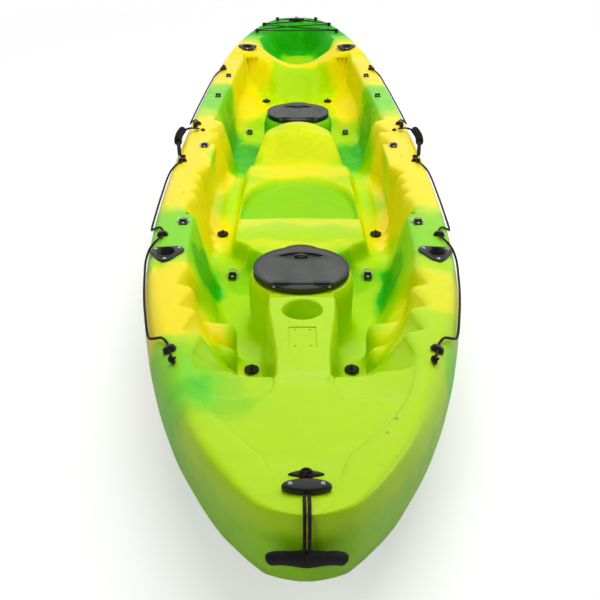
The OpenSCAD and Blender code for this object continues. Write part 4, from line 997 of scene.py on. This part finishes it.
for i, (y, z, wide) in enumerate(CLIP_LINE):
    before, after = CLIP_LINE[max(0, i - 1)], CLIP_LINE[min(len(CLIP_LINE) - 1, i + 1)]
    lean = math.atan2(after[1] - before[1], after[0] - before[0])
    dy, dz = -CLIP_T * math.sin(lean), CLIP_T * math.cos(lean)
    clip_layers.append([(x, y + k * dy, z + k * dz) for x, k in (
        (-wide, -1), (wide, -1), (wide, 1), (wide - 1, 1.4), (1 - wide, 1.4), (-wide, 1))])
eye_plate = stacked([[(x * k, y * k, z) for x, y in plate_corners]
                     for k, z in ((1, -0.4), (1, 1.6), (0.95, 2.4))])
eyes = moulding("pad_eye_mouldings", [eye_plate, stacked(clip_layers)], both_sides(eye_seats))
finish_piece(smoothed(eyes, 40), nylon, "kayak", "black_plastic", "pad_eyes")
ring_line = [(RING_R * math.cos(a), RING_L + RING_R * math.sin(a))
             for a in (i * math.pi / 24 for i in range(25))]
ring_line += [(-RING_R, RING_L / 2), (-RING_R + 1.2, 1.6), (-RING_R + 3, 0.2), (-RING_R / 2, 0), (0, 0),
              (RING_R / 2, 0), (RING_R - 3, 0.2), (RING_R - 1.2, 1.6), (RING_R, RING_L / 2)]
for name, seat in ring_seats.items():
    line = [seat @ Vector((x, y, PAD_T + RING_WIRE + 0.4)) for x, y in ring_line]
    for side in ("port", "starboard"):
        node = f"d_ring_{name}_{side}"
        wire = swept(f"{node}_wire", on_side(side, line), RING_WIRE, closed=True)
        finish_piece(wire, steel, node, "steel", node)

# Rod holders: a three-cornered nylon flange on a raked tube with a closed end, moulded in one
# and screwed through the deck on a rubber gasket.
ROD_BORE_R, ROD_WALL, ROD_L, ROD_RAKE, ROD_LEAN, ROD_SUNK = 22.5, 3, 180, 22, 6, 2.2
FLANGE_R, FLANGE_CORNER, FLANGE_SHIFT, FLANGE_LOW, FLANGE_TOP = 41.5, 6.5, 3, -0.5, 4.5
FLANGE_EDGE = ((-1.5, 0), (0, 0.8), (0.3, 2.6), (-0.6, 4), (-2.4, 4.8), (-4.5, 5))
MOUTH_EDGE = ((6.5, 0.2), (5.2, 1.4), (3.4, 2), (1.4, 1.6), (0, -0.4))
ROD_SIDES, ROD_MOUNT_DEEP = 60, 80
rod_aim = Matrix.Rotation(math.radians(ROD_LEAN), 3, "Y") @ Matrix.Rotation(math.radians(-ROD_RAKE), 3, "X")
rod_way = rod_aim @ Vector((0, 0, 1))


def rod_ring(radius, level=None, depth=0):
    """A circle round the raked bore, cut off level at a height in the seat, or square at a depth."""
    ring = []
    for p in ring_of(radius, -depth, ROD_SIDES):
        p = rod_aim @ Vector(p) - Vector((0, 0, ROD_SUNK))
        if level is not None:
            p += rod_way * ((level - p.z) / rod_way.z)
        ring.append(p)
    return ring


def flange_ring(grow, level):
    ring = []
    for x, y, z in ring_of(1, level, ROD_SIDES):
        r = FLANGE_R + FLANGE_CORNER * math.cos(3 * (math.atan2(y, x) - math.pi / 6)) + grow
        ring.append(Vector((r * x, r * y + FLANGE_SHIFT, z)))
    return ring


def rod_seat(mount):
    """Matrix of a holder's seat on the deck, worked back from the axis of its bore."""
    axis = Vector(mount["axis"])
    pitch = Matrix.Rotation(math.acos(axis.y / math.hypot(rod_way.y, rod_way.z))
                            - math.atan2(rod_way.z, rod_way.y), 3, "X")
    way = pitch @ rod_way
    turn = Matrix.Rotation(math.atan2(axis.x, axis.z) - math.atan2(way.x, way.z), 3, "Y") @ pitch
    foot = Vector(mount["pos_m"]) / MM + ROD_MOUNT_DEEP * axis
    return Matrix.Translation(foot + turn @ Vector((0, 0, ROD_SUNK))) @ turn.to_4x4()


rod_holder = stacked(
    [rod_ring(ROD_BORE_R, depth=ROD_L), rod_ring(ROD_BORE_R + ROD_WALL, depth=ROD_L - 4),
     rod_ring(ROD_BORE_R + ROD_WALL, FLANGE_LOW)]
    + [flange_ring(grow, FLANGE_LOW + up) for grow, up in FLANGE_EDGE]
    + [rod_ring(ROD_BORE_R + wide, FLANGE_TOP + up) for wide, up in MOUTH_EDGE]
    + [rod_ring(ROD_BORE_R, depth=ROD_L - ROD_WALL)])
rod_seats = {"fore" if m["pos_m"][1] < 0 else "aft": rod_seat(m) for m in rod_mounts if m["pos_m"][0] > 0}
for where, seat in rod_seats.items():
    for side, own in (("port", seat), ("starboard", MIRROR @ seat)):
        node = f"rod_holder_{where}_{side}"
        holder = smoothed(moulding(f"{node}_moulding", [rod_holder], [own]), 55)
        finish_piece(holder, nylon, "kayak", "black_plastic", node)
carried("rod_holder_gaskets", "rod_gaskets", 0.3, rubber, "rubber")

# Screws: stainless pan heads with a cross recess, which hold the pad-eyes,
# the end brackets and the flanges of the rod holders to the deck.
LEAN = "lean"


def node_group(name, sizes):
    """A geometry node tree that takes a mesh, named sizes and a finish, and the sockets they come from."""
    tree = bpy.data.node_groups.new(name, "GeometryNodeTree")
    sockets = [("Geometry", "INPUT", "Geometry")] + [(size, "INPUT", "Float") for size in sizes]
    for socket, way, kind in sockets + [("Finish", "INPUT", "Material"), ("Geometry", "OUTPUT", "Geometry")]:
        tree.interface.new_socket(socket, in_out=way, socket_type=f"NodeSocket{kind}")
    return tree, add_node(tree, "NodeGroupInput").outputs


def set_out(tree, given, points, form, way):
    """Ends a tree with the form on every point, turned to face way, made real and given its finish."""
    aim = add_node(tree, "FunctionNodeAlignRotationToVector", [("Vector", way)], axis="Z")
    each = add_node(tree, "GeometryNodeInstanceOnPoints", [
        ("Points", points), ("Instance", form), ("Rotation", aim.outputs["Rotation"])])
    real = add_node(tree, "GeometryNodeRealizeInstances", [("Geometry", each.outputs["Instances"])])
    coat = add_node(tree, "GeometryNodeSetMaterial", [
        ("Geometry", real.outputs["Geometry"]), ("Material", given["Finish"])])
    add_node(tree, "NodeGroupOutput", [("Geometry", coat.outputs["Geometry"])])
    return tree


def screw_tree():
    """Geometry nodes that set a pan-head screw on every point, turned to the point's own lean."""
    tree, given = node_group("pan_head_screws", ("Head radius", "Head height", "Cross width", "Cross depth"))
    radius, height = given["Head radius"], given["Head height"]
    head = add_node(tree, "GeometryNodeMeshCone", [
        ("Vertices", 20), ("Radius Top", compute(tree, "MULTIPLY", radius, 0.7)), ("Radius Bottom", radius),
        ("Depth", height)])
    lift = add_node(tree, "ShaderNodeCombineXYZ", [("Z", height)])
    size = add_node(tree, "ShaderNodeCombineXYZ", [
        ("X", compute(tree, "MULTIPLY", radius, 1.1)), ("Y", given["Cross width"]),
        ("Z", compute(tree, "MULTIPLY", given["Cross depth"], 2))])
    bar = add_node(tree, "GeometryNodeMeshCube", [("Size", size.outputs[0])])
    arms = [add_node(tree, "GeometryNodeTransform", [
        ("Geometry", bar.outputs["Mesh"]), ("Translation", lift.outputs[0]), ("Rotation", (0, 0, turn))])
        for turn in (0, math.pi / 2)]
    recessed = add_node(tree, "GeometryNodeMeshBoolean", [("Mesh 1", head.outputs["Mesh"])] + [
        ("Mesh 2", arm.outputs["Geometry"]) for arm in arms], operation="DIFFERENCE")
    lean = add_node(tree, "GeometryNodeInputNamedAttribute", [("Name", LEAN)], data_type="FLOAT_VECTOR")
    return set_out(tree, given, given["Geometry"], recessed.outputs["Mesh"], lean.outputs["Attribute"])


def grown(name, tree, mesh, inputs):
    """A plain mesh object from a node tree's work on mesh, with the tree's named inputs set."""
    piece = add_object(name, mesh)
    change = piece.modifiers.new("grow", "NODES")
    change.node_group = tree
    for socket in tree.interface.items_tree:
        if socket.item_type == "SOCKET" and socket.in_out == "INPUT" and socket.name in inputs:
            change[socket.identifier] = inputs[socket.name]
    bake(piece)
    return smoothed(piece, 40)


pan_heads = screw_tree()


def screws(name, seats, finish, sizes):
    """Screws at the seats: head radius and height, cross width and depth, in metres."""
    mesh = bpy.data.meshes.new(name)
    mesh.from_pydata([tuple(seat.translation * MM) for seat in seats], [], [])
    lean = mesh.attributes.new(LEAN, "FLOAT_VECTOR", "POINT")
    lean.data.foreach_set("vector", [v for seat in seats for v in seat.to_3x3() @ Vector((0, 0, 1))])
    named = zip(("Head radius", "Head height", "Cross width", "Cross depth"), sizes)
    return grown(name, pan_heads, mesh, dict(named, Finish=finish))


BRACKET_IN, BRACKET_H, BRACKET_SCREW, BRACKET_GAP = 60, 11, 54, 1.2
EYE_SCREW = (0, -11, 4.9)
SCREW_M, ROD_SCREW_M = (0.0042, 0.0024, 0.0011, 0.0012), (0.0048, 0.0026, 0.0011, 0.0012)
ROD_SCREWS = ((-31, 22), (31, 22), (0, -37))


def end_seat(y):
    return at(0, y, deck_z(0, y) + BRACKET_GAP)


end_seats = {"bow": end_seat(BOW_Y + BRACKET_IN),
             "stern": end_seat(STERN_Y - BRACKET_IN) @ Matrix.Rotation(math.pi, 4, "Z")}
screw_seats = both_sides([seat @ at(*EYE_SCREW) for seat in eye_seats])
screw_seats += [seat @ at(s * BRACKET_SCREW, 0, BRACKET_H + 0.1)
                for seat in end_seats.values() for s in (-0.5, 0.5)]
rod_screw_seats = both_sides([seat @ at(x, y, FLANGE_TOP)
                              for seat in rod_seats.values() for x, y in ROD_SCREWS])
finish_piece(screws("fitting_screws", screw_seats, steel, SCREW_M), steel,
             "kayak", "steel", "screws")
finish_piece(screws("rod_holder_screws", rod_screw_seats, steel, ROD_SCREW_M), steel,
             "kayak", "steel")

# Deck inserts: threaded brass bushes for accessories, open at the top,
# moulded into the deck so that only their rims show.
DECK_INSERTS = ((170, -1586), (149, -1631), (344, -120), (343, -284), (345, -445), (-348, -284), (-353, -445))
INSERT_M = (0.004, 0.0016, 0.0026, 0.0012)
brass = mottled("brass_inserts", (0.00005, 700, 2.0), None, [
    (0.3, (150, 116, 58)), (0.7, (196, 160, 92))], roughness=0.3, metallic=1.0)
insert_seats = [deck_frame(abs(x), y) @ at(0, 0, -SEAT_GAP) for x, y in DECK_INSERTS]
insert_seats = [seat if x > 0 else MIRROR @ seat for seat, (x, _) in zip(insert_seats, DECK_INSERTS)]
finish_piece(screws("deck_inserts", insert_seats, brass, INSERT_M), brass,
             "kayak", "steel")

# Deck lines: 6 mm elastic cord along each gunwale, held by small nylon saddles and knotted at both ends.
# The sheath is a black braid with a few red-brown tracer strands.
LINE_D, LINE_INSET, LINE_RISE, LINE_OFF, LINE_UP, LINE_FLAT, LINE_RUN = 6, 42, 7, 5, 6, 20, 60
TAIL_L, KNOT_L, KNOT_R, KNOT_WIRE, LINE_HUMP = 42, 22, 10.08, 2.7, 11
FRONT_LINE, REAR_LINE = (-1340, -761, -167), (238, 1017)
STRANDS, PICKS, TRACER_PICKS, TRACER_SHARE = 6.0, 150.0, 46.0, 0.14

braid, braiding, braid_shader = new_material("braided_cord", 0.72, 0.3)
braid_uv = add_node(braiding, "ShaderNodeUVMap", uv_map="along").outputs["UV"]
braid_axes = add_node(braiding, "ShaderNodeSeparateXYZ", [("Vector", braid_uv)]).outputs
round_cord, down_cord = braid_axes["X"], braid_axes["Y"]
strands = []
for lean in (1, -1):
    phase = compute(braiding, "MULTIPLY_ADD", down_cord, lean * PICKS * 2 * math.pi,
                    compute(braiding, "MULTIPLY", round_cord, STRANDS * 2 * math.pi))
    strands.append(compute(braiding, "SINE", phase))
plait = compute(braiding, "MAXIMUM", *strands)
add_bump(braiding, braid_shader, plait, 0.0004)
tracer_phase = compute(braiding, "MULTIPLY_ADD", down_cord, TRACER_PICKS, round_cord)
tracer = compute(braiding, "LESS_THAN", compute(braiding, "FRACT", tracer_phase), TRACER_SHARE)
tracer = compute(braiding, "MULTIPLY", plait, tracer)
# Darker towards the grooves between strands: painted shade in the grooves, over the braid's black.
braid_black_and_groove_shade = add_ramp(braiding, plait, [(0.1, (14, 13, 13)), (0.9, (42, 38, 36))])
braid_mix = add_node(braiding, "ShaderNodeMix", [("Factor", tracer), (6, braid_black_and_groove_shade), (7, rgb(124, 52, 38))],
                     data_type="RGBA")
feed(braiding, braid_shader, [("Base Color", braid_mix.outputs[2])])


def flowing(points, step=5.0):
    """A smooth path through millimetre points, with a point about every step."""
    points = [tuple(p) for p in points]
    first = tuple(2 * a - b for a, b in zip(points[0], points[1]))
    last = tuple(2 * a - b for a, b in zip(points[-1], points[-2]))
    cuts = [max(1, round(math.dist(a, b) / step)) for a, b in zip(points, points[1:])]
    return [Vector(p) for p in spline([first] + points + [last], cuts)]


def knot(name, at_point, along, size, wire):
    """An overhand knot at a point, its length lying along the cord."""
    turn = Vector(along).to_track_quat("Z", "Y").to_matrix()
    line = []
    for a in (2 * math.pi * i / 48 for i in range(48)):
        line.append(Vector(at_point) + turn @ Vector((
            (math.sin(a) + 2 * math.sin(2 * a)) * size / 4.4,
            (math.cos(a) - 2 * math.cos(2 * a)) * size / 4.4, -math.sin(3 * a) * size / 2.2)))
    return finish_piece(swept(name, line, wire, 8, closed=True), braid, "kayak", "cord")


def metres(path):
    return [tuple(p * MM) for p in path]


def line_point(y, ends):
    """A point of the deck line: up on the deck at its ends and saddles, over the gunwale between them."""
    b = half_beam(y)
    t = smooth((min(abs(y - e) for e in ends) - LINE_FLAT) / LINE_RUN)
    gunwale = mix(seam_z(y), sheer(y), GUNWALE_UP)
    side = Vector((b - GUNWALE_IN * crest_inset(y) + LINE_OFF, y, gunwale + LINE_UP))
    hump = Vector((0, 0, LINE_HUMP * math.sin(math.pi * t)))
    return above_deck(b - LINE_INSET, y, LINE_RISE).lerp(side, t) + hump


def line_route(ends):
    ys = []
    for y0, y1 in zip(ends, ends[1:]):
        ys += [y0 + d for d in (0, 20, 40, 60, 90)]
        ys += [mix(y0 + 200, y1 - 200, i / 4) for i in range(5)]
        ys += [y1 - d for d in (90, 60, 40, 20)]
    ys.append(ends[-1])
    tails = [above_deck(half_beam(y) - LINE_INSET, y, LINE_RISE)
             for y in (ends[0] - TAIL_L, ends[-1] + KNOT_L)]
    return [tails[0]] + [line_point(y, ends) for y in ys] + [tails[1]]


for where, ends in (("front", FRONT_LINE), ("rear", REAR_LINE)):
    route = flowing(line_route(ends))
    for side in ("port", "starboard"):
        path = on_side(side, route)
        name = f"deck_line_{where}_{side}"
        cord = finish_piece(swept(f"{name}_cord", path, LINE_D / 2), braid, "kayak", "cord", name)
        for tag, here, inward in (("fore", path[0], path[2]), ("aft", path[-1], path[-3])):
            away = (here - inward).normalized()
            knot(f"{name}_{tag}_knot", here + away * 2, away, KNOT_R, KNOT_WIRE)
            stub = [here + away * d - Vector((0, 0, 0.06 * d)) for d in (3, 8, 13, 18)]
            finish_piece(swept(f"{name}_{tag}_stub", stub, LINE_D / 2), braid, "kayak", "cord")

SADDLE_W, SADDLE_R = 30, 8
SADDLE_RISE = ((1.0, 0), (1.06, 1.2), (1.06, 2.6), (1.0, 3.6), (0.96, 6), (0.9, 9), (0.78, 11.4),
               (0.55, 12.7), (0.25, 13.2))
saddle_rim = [(s * (SADDLE_W / 2 - SADDLE_R) + SADDLE_R * math.cos(a), SADDLE_R * math.sin(a))
              for s, start in ((1, -90), (-1, 90)) for a in (math.radians(start + i * 15) for i in range(13))]
saddle = stacked([[(x * k, w * (k if z > 4 else 1.0 + (k - 1) * 2), z) for x, w in saddle_rim]
                  for k, z in SADDLE_RISE])
saddle_seats = []
for y in FRONT_LINE + REAR_LINE:
    slope = math.atan2(half_beam(y + 20) - half_beam(y - 20), 40)
    saddle_seats.append(deck_frame(half_beam(y) - LINE_INSET, y) @ Matrix.Rotation(-slope, 4, "Z"))
saddles = moulding("deck_line_saddle_mouldings", [saddle], both_sides(saddle_seats))
finish_piece(smoothed(saddles, 55), nylon, "kayak", "black_plastic", "deck_line_saddles")

# Cargo bungee: one 5 mm shock cord laced over the stern well
# round six mushroom hooks, which are nylon mouldings screwed to the deck.
HOOKS = ((50, 1605), (36, 1706), (50, 1785))
BUNGEE_D, BUNGEE_RISE, WRAP_PLAY = 5, 10, 1.5
POST_R, HEAD_R, BASE_R, HEAD_Z = 6, 9, 8, BUNGEE_RISE + BUNGEE_D / 2 + WRAP_PLAY
HOOK_OUTLINE = ((BASE_R, -1), (BASE_R, 3), (BASE_R - 1, 3.8), (POST_R, 5), (POST_R - 0.4, BUNGEE_RISE),
                (POST_R, HEAD_Z - 1), (HEAD_R - 1, HEAD_Z), (HEAD_R, HEAD_Z + 0.9),
                (HEAD_R - 0.6, HEAD_Z + 2), (HEAD_R - 3, HEAD_Z + 3))
WRAPS = ((2, -1, -1), (1, 1, -1), (0, -1, -1), (0, 1, 1), (1, -1, 1), (2, 1, 1))
WRAP_REACH = POST_R + BUNGEE_D / 2 + WRAP_PLAY
SPAN_LIFT = (4, 4, 0, -4, -4)
hook_feet = []
for inset, y in HOOKS:
    x = half_beam(y) - inset
    hook_feet.append(Vector((x, y, deck_z(x, y))))
hooks = moulding("cargo_hook_mouldings", [stacked([ring_of(r, z, 28) for r, z in HOOK_OUTLINE])],
                 both_sides([Matrix.Translation(foot) for foot in hook_feet]))
finish_piece(smoothed(hooks, 50), nylon, "kayak", "black_plastic", "cargo_hooks")
wrap_lines = []
for i, s, turn in WRAPS:
    x, y, z = hook_feet[i]
    wrap_lines.append([Vector((s * (x + WRAP_REACH * math.cos(a)), y + turn * WRAP_REACH * math.sin(a),
                               z + BUNGEE_RISE)) for a in map(math.radians, (-75, -37.5, 0, 37.5, 75))])
bungee_route = list(wrap_lines[0])
for lift, before, after in zip(SPAN_LIFT, wrap_lines, wrap_lines[1:]):
    bungee_route += [before[-1].lerp(after[0], t) + Vector((0, 0, lift * math.sin(math.pi * t)))
                     for t in (0.2, 0.5, 0.8)] + after
bungee_path = flowing(bungee_route)
bungee = finish_piece(swept("cargo_bungee_cord", bungee_path, BUNGEE_D / 2), braid, "kayak", "cord",
                      "cargo_bungee")

# End toggles: a nylon bracket screwed to the deck clamps a doubled cord, knotted behind it.
# In front the cord hangs over the end to a moulded rubber T-grip.
TOGGLE_D, CORD_PAIR, CORD_Z, GRIP_OFF, GRIP_DROP = 6, 4, 3.5, 18, 82
BRACKET_W, BRACKET_L, KNOT_X, KNOT_IN, KNOT_UP, TIED_R, TIED_WIRE = 84, 32, 5.9, 24, 3, 9, 2.6
PAD_IN, BOW_PAD_W, BOW_PAD_R, BOW_EYE_R, BOW_EYE_WIRE = 100, 62, 9, 9, 3
PAD_RISE = ((0.98, -0.6), (1, 0.4), (0.98, 2), (0.9, 3.2), (0.7, 4))
BRACKET_RISE = ((0.97, -0.6), (1, 0.6), (1, 5), (0.985, 7.6), (0.94, 9.6), (0.86, 10.8), (0.74, 11.2),
                (0.3, 12))
GRIP_W, GRIP_R, GRIP_SAG = 130, 12, 7
GRIP_OUT, GRIP_Z = -BRACKET_IN - GRIP_OFF, CORD_Z - GRIP_DROP
ANCHOR_ROUTE = ((CORD_PAIR, -BRACKET_L / 2, 0), (CORD_PAIR, BRACKET_L / 2 + 2, 0), (KNOT_X, KNOT_IN, KNOT_UP))
TOGGLE_ROUTE = tuple((CORD_PAIR, y, z) for y, z in (
    (-BRACKET_L / 2 - 3.8, 0), (-48, 4), (-62, 1), (-71, -9), (GRIP_OUT, -26),
    (GRIP_OUT, GRIP_R - 2 - GRIP_DROP)))
pad_seat = end_seat(BOW_Y + PAD_IN)
pad_rim = [(BOW_PAD_W / 2 * t, -BOW_PAD_R * (1 - t * t) - 0.6) for t in (-1 + i / 16 for i in range(33))]
pad_rim += [(-x, -y) for x, y in pad_rim]
bow_pad = stacked([[(x * k, y * k, z) for x, y in pad_rim] for k, z in PAD_RISE])
bow_pad = smoothed(moulding("bow_pad_eye_moulding", [bow_pad], [pad_seat]), 50)
finish_piece(bow_pad, nylon, "kayak", "black_plastic", "bow_pad_eye")
eye_line = [pad_seat @ Vector((BOW_EYE_R * math.cos(a), 0, PAD_T + BOW_EYE_R * math.sin(a)))
            for a in (math.radians(12 * i) for i in range(16))]
finish_piece(swept("bow_pad_eye_loop", eye_line, BOW_EYE_WIRE), nylon, "kayak", "black_plastic")
bracket = stacked([[(k * BRACKET_W / 2 * math.cos(a), k * BRACKET_L / 2 * math.sin(a), z)
                    for a in (math.radians(6 * i) for i in range(60))] for k, z in BRACKET_RISE])
grip_steps = [-1 + i / 24 for i in range(49)]
grip_line = [Vector((t * GRIP_W / 2, GRIP_OUT, GRIP_Z + GRIP_SAG * (t * t - 1.5 * t ** 6)))
             for t in grip_steps]
grip_radii = [GRIP_R * (0.84 + 0.22 * math.exp(-(t / 0.3) ** 2)) * max(0.2, 1 - abs(t) ** 26) ** 0.5
              for t in grip_steps]
for end, seat in end_seats.items():
    clamp = smoothed(moulding(f"{end}_bracket_moulding", [bracket], [seat]), 55)
    finish_piece(clamp, nylon, "kayak", "black_plastic", f"{end}_bracket")
    grip = swept(f"{end}_toggle_handle", [seat @ p for p in grip_line], grip_radii, 24, flat=1.24)
    finish_piece(grip, rubber, f"{end}_toggle", "rubber", f"{end}_toggle_grip")
    for s, strand in ((1, "a"), (-1, "b")):
        path = flowing([seat @ Vector((s * x, y, z + CORD_Z)) for x, y, z in ANCHOR_ROUTE], 3)
        cord = swept(f"{end}_anchor_strand_{strand}", path, TOGGLE_D / 2)
        finish_piece(cord, braid, "kayak", "cord", *([f"{end}_anchor_cord"] if s == 1 else []))
        away = (path[-1] - path[-3]).normalized()
        tied = knot(f"{end}_anchor_knot_{strand}", path[-1] + away * 2, away, TIED_R, TIED_WIRE)
        path = flowing([seat @ Vector((s * x, y, z + CORD_Z)) for x, y, z in TOGGLE_ROUTE], 3)
        cord = swept(f"{end}_toggle_strand_{strand}", path, TOGGLE_D / 2, up=(1, 0, 0))
        finish_piece(cord, braid, f"{end}_toggle", "cord", *([f"{end}_toggle_cord"] if s == 1 else []))

# Side handles: a ribbed rubber grip over a woven webbing strap,
# whose two ends are screwed down on the gunwale under round nylon anchors.
ANCHORS = ((40, -121), (71, 165))
ANCHOR_D, ANCHOR_H, HANDLE_D, HANDLE_OUT, HANDLE_UP = 16, 7, 26, -4, 14
GRIP_Y = (0, 130)
RIB_SIZES = {"Grip radius": (HANDLE_D / 2 - 1.5) * MM, "Rib wire": 0.0021, "Rib step": 0.0095,
             "Finish": rubber}
STRAP_R, STRAP_FLAT = 6.5, 0.42


def rib_tree():
    """Geometry nodes that set round ribs at even steps along a path."""
    tree, given = node_group("grip_ribs", ("Grip radius", "Rib wire", "Rib step"))
    line = add_node(tree, "GeometryNodeMeshToCurve", [("Mesh", given["Geometry"])])
    even = add_node(tree, "GeometryNodeResampleCurve", [
        ("Curve", line.outputs["Curve"]), ("Length", given["Rib step"])], mode="LENGTH")
    hoop, wire = (add_node(tree, "GeometryNodeCurvePrimitiveCircle", [
        ("Resolution", sides), ("Radius", given[size])])
        for sides, size in ((28, "Grip radius"), (8, "Rib wire")))
    rib = add_node(tree, "GeometryNodeCurveToMesh", [
        ("Curve", hoop.outputs["Curve"]), ("Profile Curve", wire.outputs["Curve"])])
    tangent = add_node(tree, "GeometryNodeInputTangent")
    return set_out(tree, given, even.outputs["Curve"], rib.outputs["Mesh"], tangent.outputs["Tangent"])


webbing, weaving, webbing_shader = new_material("woven_webbing", 0.8, 0.25)
webbing_uv = add_node(weaving, "ShaderNodeUVMap", uv_map="along").outputs["UV"]
webbing_scale = add_node(weaving, "ShaderNodeMapping", [("Vector", webbing_uv), ("Scale", (14, 420, 1))])
weave = add_node(weaving, "ShaderNodeTexChecker", [
    ("Vector", webbing_scale.outputs["Vector"]), ("Scale", 1.0)]).outputs["Fac"]
add_bump(weaving, webbing_shader, weave, 0.0003)
web_black = add_ramp(weaving, weave, [(0.0, (20, 20, 20)), (1.0, (38, 37, 36))])
feed(weaving, webbing_shader, [("Base Color", web_black)])


def grip_point(t):
    y = mix(GRIP_Y[0], GRIP_Y[1], t)
    return Vector((BEAM / 2 + HANDLE_OUT - 5 * (2 * t - 1) ** 2, y, sheer(y) + HANDLE_UP))


def strap_route(i):
    """From anchor i to inside the grip's end."""
    inset, y = ANCHORS[i]
    x = half_beam(y) - inset
    inward = 1 - 2 * i
    start = Vector((x + ANCHOR_D / 2 + 5, y, deck_z(x, y) + ANCHOR_H / 2 + SEAT_GAP + 3))
    end = grip_point(i) + Vector((0, inward * 12, 0))
    return flowing([start, start.lerp(end, 0.5) + Vector((0, -inward * 4, 6)), end], 4)


ribs = rib_tree()
sleeve_line = [grip_point(t / 24) for t in range(25)]
for side in ("port", "starboard"):
    body = f"handle_{side}"
    path = on_side(side, sleeve_line)
    grip = swept(f"handle_grip_{side}_sleeve", path, HANDLE_D / 2 - 1.4, 24)
    finish_piece(grip, rubber, body, "rubber", f"handle_grip_{side}")
    spine = bpy.data.meshes.new("grip_spine")
    spine.from_pydata(metres(path), [(i, i + 1) for i in range(len(path) - 1)], [])
    finish_piece(grown(f"handle_grip_{side}_ribs", ribs, spine, RIB_SIZES), rubber, body, "rubber")
    for i in (0, 1):
        strap = swept(f"handle_strap_{side}_{i}", on_side(side, strap_route(i)), STRAP_R, 16, flat=STRAP_FLAT)
        finish_piece(strap, webbing, body, "cord", *([f"handle_strap_{side}"] if i == 0 else []))
carried("handle_anchors", "handle_anchor_caps", 1.6, nylon, "black_plastic", segments=3)

# Drain: a moulded nylon socket set into the stern,
# closed by a nylon screw plug with a coin slot.
carried("drain_socket", "drain_seat", 0.8, nylon, "black_plastic")
carried("drain_plug", "drain_bung", 1.0, nylon, "black_plastic", "drain", 3)
